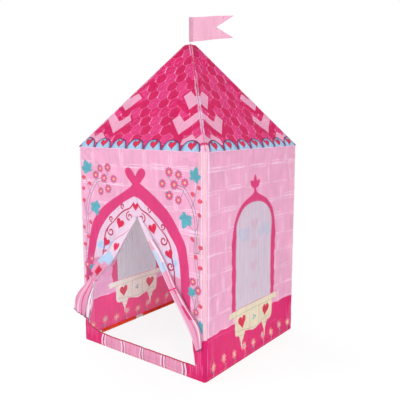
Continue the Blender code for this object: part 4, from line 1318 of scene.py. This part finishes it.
def flap_prints(flap):
    """The print on a drawn-back flap, in its panel coordinates; its first layer is what shows."""
    wide, long, left_hand = flap["wide"], flap["long"], flap["side"] < 0
    shown, prints = 1 / flap["layers"], []

    def place(share, up):
        across = share * shown * wide
        return (wide - across if left_hand else across, up * long)

    def band(ink, low, high, left=0.0, right=3.0, slant=0.0):
        shape = [place(left, low), place(right, low + slant), place(right, high + slant), place(left, high)]
        loop = spaced([*shape, shape[0]], 0.012)
        prints.append(([(x, y + 0.004 * ripple(x * 60, y * 20, 3.3)) for x, y in loop], ink))

    def line(ink, width, *points):
        prints.append(drawn([place(*point) for point in points], width, ink, 0.3, 5))

    if left_hand:
        band("pale", 0.66, 1.02)
        band("paving", 0.44, 0.67)
        band("haze", 0.655, 0.735, 0.1, 0.72, 0.02)
        band("haze", 0.63, 0.7, 0.55, 1.1)
        prints.append((heart(*place(0.45, 0.8), 0.04, 0.042, 20), "red"))
        line("scroll", 0.0042, (0.02, 0.97), (0.55, 0.88), (0.92, 0.8), (0.75, 0.74))
        line("scroll", 0.0042, (0.05, 0.72), (0.12, 0.62), (0.06, 0.5))
        band("red", 0.5, 0.585, 0.3, 0.62, 0.03)
        band("rose", 0.445, 0.5, 0.62, 1.0)
        band("paving", 0.0, 0.44)
        for share, width, ink in (
            (0.08, 0.008, "white"), (0.15, 0.0034, "plum"), (0.23, 0.01, "white"), (0.31, 0.003, "plum"),
            (0.48, 0.004, "rose"), (0.62, 0.005, "strip"), (0.76, 0.0026, "rose"), (0.88, 0.004, "strip"),
        ):
            line(ink, width, (share, 0.0), (share + 0.06, 0.18), (share + 0.02, 0.36))
        band("plum", 0.0, 0.012)
    else:
        band("paving", 0.0, 1.02, 0, 5)
        band("pale", 0.84, 1.02, 0, 5)
        band("haze", 0.66, 0.78, 0.0, 1.0)
        band("white", 0.7, 0.84, 0.5, 1.1)
        band("rose", 0.4, 0.5, 0.6, 1.1, -0.02)
        band("rose", 0.22, 0.32, 0.5, 1.1, -0.02)
        for share, width, ink in ((0.12, 0.004, "white"), (0.55, 0.0018, "scroll"), (0.78, 0.005, "white")):
            line(ink, width, (share, 0.0), (share + 0.05, 0.4), (share, 0.86))
        band("plum", 0.0, 0.016, 0, 5)
    line("rose", 0.0024, (0.02, 0.0), (0.02, 0.5), (0.02, 1.0))
    return prints


class TENT_OT_door(bpy.types.Operator):
    """Draw back the two door flaps and tie them"""

    bl_idname = "tent.door"
    bl_label = "Door flaps"

    def execute(self, context):
        size, flap_cloth = sizes(), material("printed_flap_cloth", cloth, crease=0.7, through=0.3)
        for name, flap in FLAPS.items():
            outline = rectangle(0, 0, flap["wide"], flap["long"])
            step = size.fine_step * (1.0 if name == "left" else 0.7)
            piece = cloth_piece(
                f"door_flap_{name}_cloth", flap_surface(flap), outline, "wall", flap_prints(flap),
                step=step, thick=size.cloth, back=0.6, stretch=2.0,
            )
            dress(piece, flap_cloth, f"flap_{name}", "flap_cloth", f"door_flap_{name}")
            tie, round_length = self.tie(name, flap)
            dress(tie, tape(), f"flap_{name}", "tie_tape", f"door_tie_{name}")
        return {"FINISHED"}

    def tie(self, name, flap):
        """The band round a flap, in the section that its tie takes."""
        place = (len(flap["shares"]) - 1) * flap["tie"]
        line = [flap_point(flap, step / 24, place) for step in range(25)]
        inner, outer, slack, bend = line[0], line[-1], 0.0012, 0.0014
        near, far = max(point.y for point in line) + slack, min(point.y for point in line) - slack
        across = Vector((outer.x - inner.x, 0, outer.z - inner.z))
        half, deep = across.length / 2 + slack - bend, (near - far) / 2 - bend
        across.normalize()
        down = Vector((across.z, 0, -across.x)) * flap["side"]
        middle = (inner + outer) / 2
        middle.y = (near + far) / 2
        ring = []
        for quarter, (right, front) in enumerate(((1, 1), (-1, 1), (-1, -1), (1, -1))):
            arc = ring_of(bend, bend, pi / 2 * quarter, pi / 2, 5, 1)
            ring += [(right * half + x, front * deep + y) for x, y in arc]
        read, total = path_reader(ring + ring[:1])

        def surface(along, up):
            x, y = read(along)
            return middle + across * x + Vector((0, y, 0)) - down * (up + 0.0002 * sin(along * 300))

        gap, half_wide, seam = 0.0002, 0.004, 0.0034
        edges = [drawn([(0, up), (total, up)], 0.0007, "strip") for up in (-seam, seam)]
        outline = rectangle(gap, -half_wide, total - gap, half_wide)
        band = cloth_piece(f"door_tie_{name}_tape", surface, outline, "deep", edges, step=0.002, back=0.2)
        return band, total


class TENT_OT_flag(bpy.types.Operator):
    """Fly the swallow-tailed flag"""

    bl_idname = "tent.flag"
    bl_label = "Flag"

    def execute(self, context):
        reach, tail, top, hoist, bearing = 0.017, 0.221, 1.661, 0.119, radians(25)
        read, total = path_reader(teardrop(0.0056, reach, tail))
        start, low = total - tail, top - hoist

        def surface(across, up):
            x, y = read(across + start)
            if across > reach:
                share = (across - reach) / (tail - reach)
                y += 0.0052 * soft_step(share * 4) * sin(2 * pi * (1.25 * share + 0.04))
                y += 0.0016 * ripple(across * 30, up * 16, 2.0) * soft_step(share * 5)
            wave_x = x * cos(bearing) - y * sin(bearing)
            wave_y = x * sin(bearing) + y * cos(bearing)
            return Vector((wave_x, TENT_Y + wave_y, up))

        rise, end = hoist - 0.106, tail - 0.0006
        outline = [
            (-start + 0.0004, low), (0.0, low), (end, low + rise), (tail - 0.086, low + rise / 2 + hoist / 2),
            (end, top), (0.0, top), (-start + 0.0004, top),
        ]
        prints = [drawn([(x, low), (x, top)], 0.0007, "strip") for x in (-start + 0.002, reach - 0.0022)]
        piece = cloth_piece(
            "flag_cloth", surface, outline, "flag", prints, step=sizes().fine_step, thick=0.0007, back=0.05
        )
        look = material("printed_flag_cloth", cloth, through=0.45, crease=0.4, blotch=0.06)
        dress(piece, look, "flag", "flag_cloth", "flag")
        row = on_surface(surface, [(reach - 0.001, low + 0.002), (reach - 0.001, top - 0.002)], 0.001, 0.0004)
        thread = material("pink_thread", cord, inks()["strip"])
        dress(stitches("flag_stitching", [row]), thread, "flag", "flag_cloth")
        return {"FINISHED"}


class TENT_OT_loops(bpy.types.Operator):
    """Sew the loops that tie the cover to the uprights"""

    bl_idname = "tent.loops"
    bl_label = "Corner loops"

    def execute(self, context):
        centre, low, high, lean, seams = HALF - CORNER, 0.329, 0.351, sqrt(0.5), (0.3315, 0.3485)
        read, total = path_reader(teardrop(0.009, 0.0117, 0.0))
        outline = rectangle(0.0, low, total, high)
        edges = [drawn([(0, up), (total, up)], 0.0012, "strip") for up in seams]
        for corner, quarter in CORNERS.items():

            def surface(along, up):
                x, y = read(along)
                return turned((centre + (x + y) * lean, -centre + (y - x) * lean, up), quarter)

            piece = cloth_piece(
                f"corner_loop_{corner}_tape", surface, outline, "deep", edges, step=0.0025, thick=0.0008,
                back=0.2,
            )
            dress(piece, tape(), "tent", "tie_tape", f"corner_loop_{corner}")
        return {"FINISHED"}


class TENT_OT_trims(bpy.types.Operator):
    """Add piping, bound edges and stitching"""

    bl_idname = "tent.trims"
    bl_label = "Piping and stitching"

    def execute(self, context):
        size, table = sizes(), inks()
        thread = material("pink_thread", cord, table["strip"])

        def sewn(surface, *line):
            return on_surface(surface, line, 0.0012, size.cloth / 2)

        for side, quarter in SIDES.items():
            eave = [turned((x * 0.01, -HALF - 0.0004, EAVE - 0.0008), quarter) for x in range(-39, 40)]
            piping = tube(f"eave_piping_{side}", eave, size.piping)
            dress(piping, material("eave_piping", cord, table["wall"]), "tent", "wall_cloth")
            wall, roof, low, top = wall_surface(side), roof_surface(side), 0.012, SLANT - 0.012
            rows = [sewn(wall, (-WALL_HALF, up), (WALL_HALF, up)) for up in (0.017, EAVE - 0.009)]
            if side in ("right", "left"):
                ring = window_hole(-0.0035)
                rows.append(sewn(wall, *ring, ring[0]))
            dress(stitches(f"wall_{side}_stitching", rows), thread, "tent", "wall_cloth")
            rows = [
                sewn(roof, *[(flip * (roof_half(up) - 0.006), up) for up in (low, top)]) for flip in (-1, 1)
            ]
            rows.append(sewn(roof, (-HALF + 0.02, 0.006), (HALF - 0.02, 0.006)))
            dress(stitches(f"roof_{side}_stitching", rows), thread, "tent", "roof_cloth")
        for corner, quarter in CORNERS.items():
            hip = []
            for step in range(81):
                share = 0.006 + 0.985 * step / 80
                half, wobble = HALF + (CAP_HALF - HALF) * share, 0.0004 * ripple(step * 0.7, quarter, 3.0)
                hip.append(turned((half + wobble, -half - wobble, EAVE + (PEAK - EAVE) * share), quarter))
            piping = tube(f"hip_piping_{corner}", hip, size.piping * 0.8)
            dress(piping, material("hip_piping", cord, table["shingle"]), "tent", "roof_cloth")
        edge = on_surface(wall_surface("front"), door_hole()[7:16], 0.006, 0.0002)
        binding = tube("door_sill_binding", [point for point, _ in edge], 0.0028)
        dress(binding, material("door_binding", cord, table["binding"]), "tent", "wall_cloth")
        return {"FINISHED"}


class TENT_OT_pockets(bpy.types.Operator):
    """Wrap the hem pockets round the base poles"""

    bl_idname = "tent.pockets"
    bl_label = "Hem pockets"

    def execute(self, context):
        axis_y, axis_z, radius = -(HALF - CORNER), 0.0148, 0.0096
        wrap = radians(235) * radius
        spans = {"front": ((-0.3, 0.3),), "right": ((-0.3, -0.03), (0.02, 0.3)),
                 "back": ((-0.3, 0.0), (0.05, 0.3)), "left": ((-0.3, -0.02), (0.035, 0.3))}
        for side, quarter in SIDES.items():

            def surface(across, up):
                angle = radians(-152) + up / radius
                reach = radius + 0.0004 * ripple(across * 50, up * 60, 5.5 + quarter)
                return turned((across, axis_y + reach * cos(angle), axis_z + reach * sin(angle)), quarter)

            for index, (first, last) in enumerate(spans[side]):
                name, outline = f"hem_pocket_{side}_{index + 1}", rectangle(first, 0.0, last, wrap)
                piece = cloth_piece(name, surface, outline, "hem", step=0.005, thick=0.0007, back=0.0)
                dress(piece, material("printed_wall_cloth", cloth), "tent", "wall_cloth")
        return {"FINISHED"}


class TENT_OT_frame_finish(bpy.types.Operator):
    """Give the poles and connectors their plastics"""

    bl_idname = "tent.frame_finish"
    bl_label = "Frame finishes"

    def execute(self, context):
        table = inks()
        pole = material("white_pole_plastic", plastic, table["pole"], 260.0, 0.0002)
        connector = material("white_connector_plastic", plastic, table["connector"], 520.0, 0.0003)
        moulded = ("base_corner", "eave_corner", "joiner", "hub")
        for name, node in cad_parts.items():
            for slot in node.material_slots:
                slot.material = connector if any(word in name for word in moulded) else pole
        return {"FINISHED"}


class TENT_OT_stage(bpy.types.Operator):
    """Set the floor, lamps, world and camera"""

    bl_idname = "tent.stage"
    bl_label = "Stage"

    def execute(self, context):
        scene, reach = context.scene, 30.0
        scene.view_settings.view_transform = "Standard"
        ground = [(x, y, 0) for x, y in rectangle(-reach, -reach, reach, reach)]
        floor = mesh_piece("floor", ground, [(0, 1, 2, 3)], False)
        floor.data.materials.append(material("floor_white", floor_finish))
        world = scene.world = bpy.data.worlds.new("studio")
        world.use_nodes = True
        tree = world.node_tree
        strength = calc(tree, "MULTIPLY_ADD", seen(tree), 0.28, 0.72)
        feed(tree, tree.nodes["Background"], {"Color": (1, 1, 1, 1), "Strength": strength})
        for name, place, size, power, aim in (
            ("key", (-2.8, -4.0, 3.2), 1.6, 92.0, (0, 0, 0.7)),
            ("fill", (4.0, -3.0, 2.4), 1.6, 110.0, (0, 0, 0.7)),
            ("top", (0.6, 0.6, 5.0), 3.0, 30.0, (0, 0, 1.0)),
            ("side", (-4.2, 1.6, 2.0), 3.0, 110.0, (0, 0, 0.5)),
        ):
            lamp = bpy.data.lights.new(name, "AREA")
            lamp.shape, lamp.size, lamp.energy = "DISK", size, power
            self.aimed(lamp, place, aim)
        lens = bpy.data.cameras.new("camera")
        lens.lens, lens.sensor_width = 47.745, 36.0
        scene.camera = self.aimed(lens, (1.7214, -2.1229, 1.1478), (0.0629, 0.03125, 0.7431))
        return {"FINISHED"}

    def aimed(self, data, place, aim):
        """A lamp or camera at a place, turned to an aim."""
        holder = bpy.data.objects.new(data.name, data)
        holder.location = place
        holder.rotation_euler = (Vector(aim) - Vector(place)).to_track_quat("-Z", "Y").to_euler()
        bpy.context.scene.collection.objects.link(holder)
        return holder


OPERATORS = (
    TENT_OT_stage, TENT_OT_frame_finish, TENT_OT_walls, TENT_OT_corner_strips, TENT_OT_roof,
    TENT_OT_window_nets, TENT_OT_door, TENT_OT_flag, TENT_OT_loops, TENT_OT_pockets, TENT_OT_trims,
)


class TENT_PT_panel(bpy.types.Panel):
    """Sizes, colours and pieces of the tent"""

    bl_idname = "TENT_PT_panel"
    bl_label = "Castle play tent"
    bl_space_type = "VIEW_3D"
    bl_region_type = "UI"
    bl_category = "Tent"

    def draw(self, context):
        layout = self.layout
        for operator in OPERATORS:
            layout.operator(operator.bl_idname)
        for group in (context.scene.tent_sizes, context.scene.tent_colours):
            box = layout.box()
            for key in type(group).__annotations__:
                box.prop(group, key)


CLASSES = (TentColours, TentSizes, *OPERATORS, TENT_PT_panel)


def register():
    for made in CLASSES:
        bpy.utils.register_class(made)
    bpy.types.Scene.tent_colours = bpy.props.PointerProperty(type=TentColours)
    bpy.types.Scene.tent_sizes = bpy.props.PointerProperty(type=TentSizes)


def unregister():
    del bpy.types.Scene.tent_sizes
    del bpy.types.Scene.tent_colours
    for made in reversed(CLASSES):
        bpy.utils.unregister_class(made)


def main():
    """Builds every piece in order."""
    register()
    for operator in OPERATORS:
        getattr(bpy.ops.tent, operator.bl_idname.split(".")[1])()


if __name__ == "__main__":
    main()
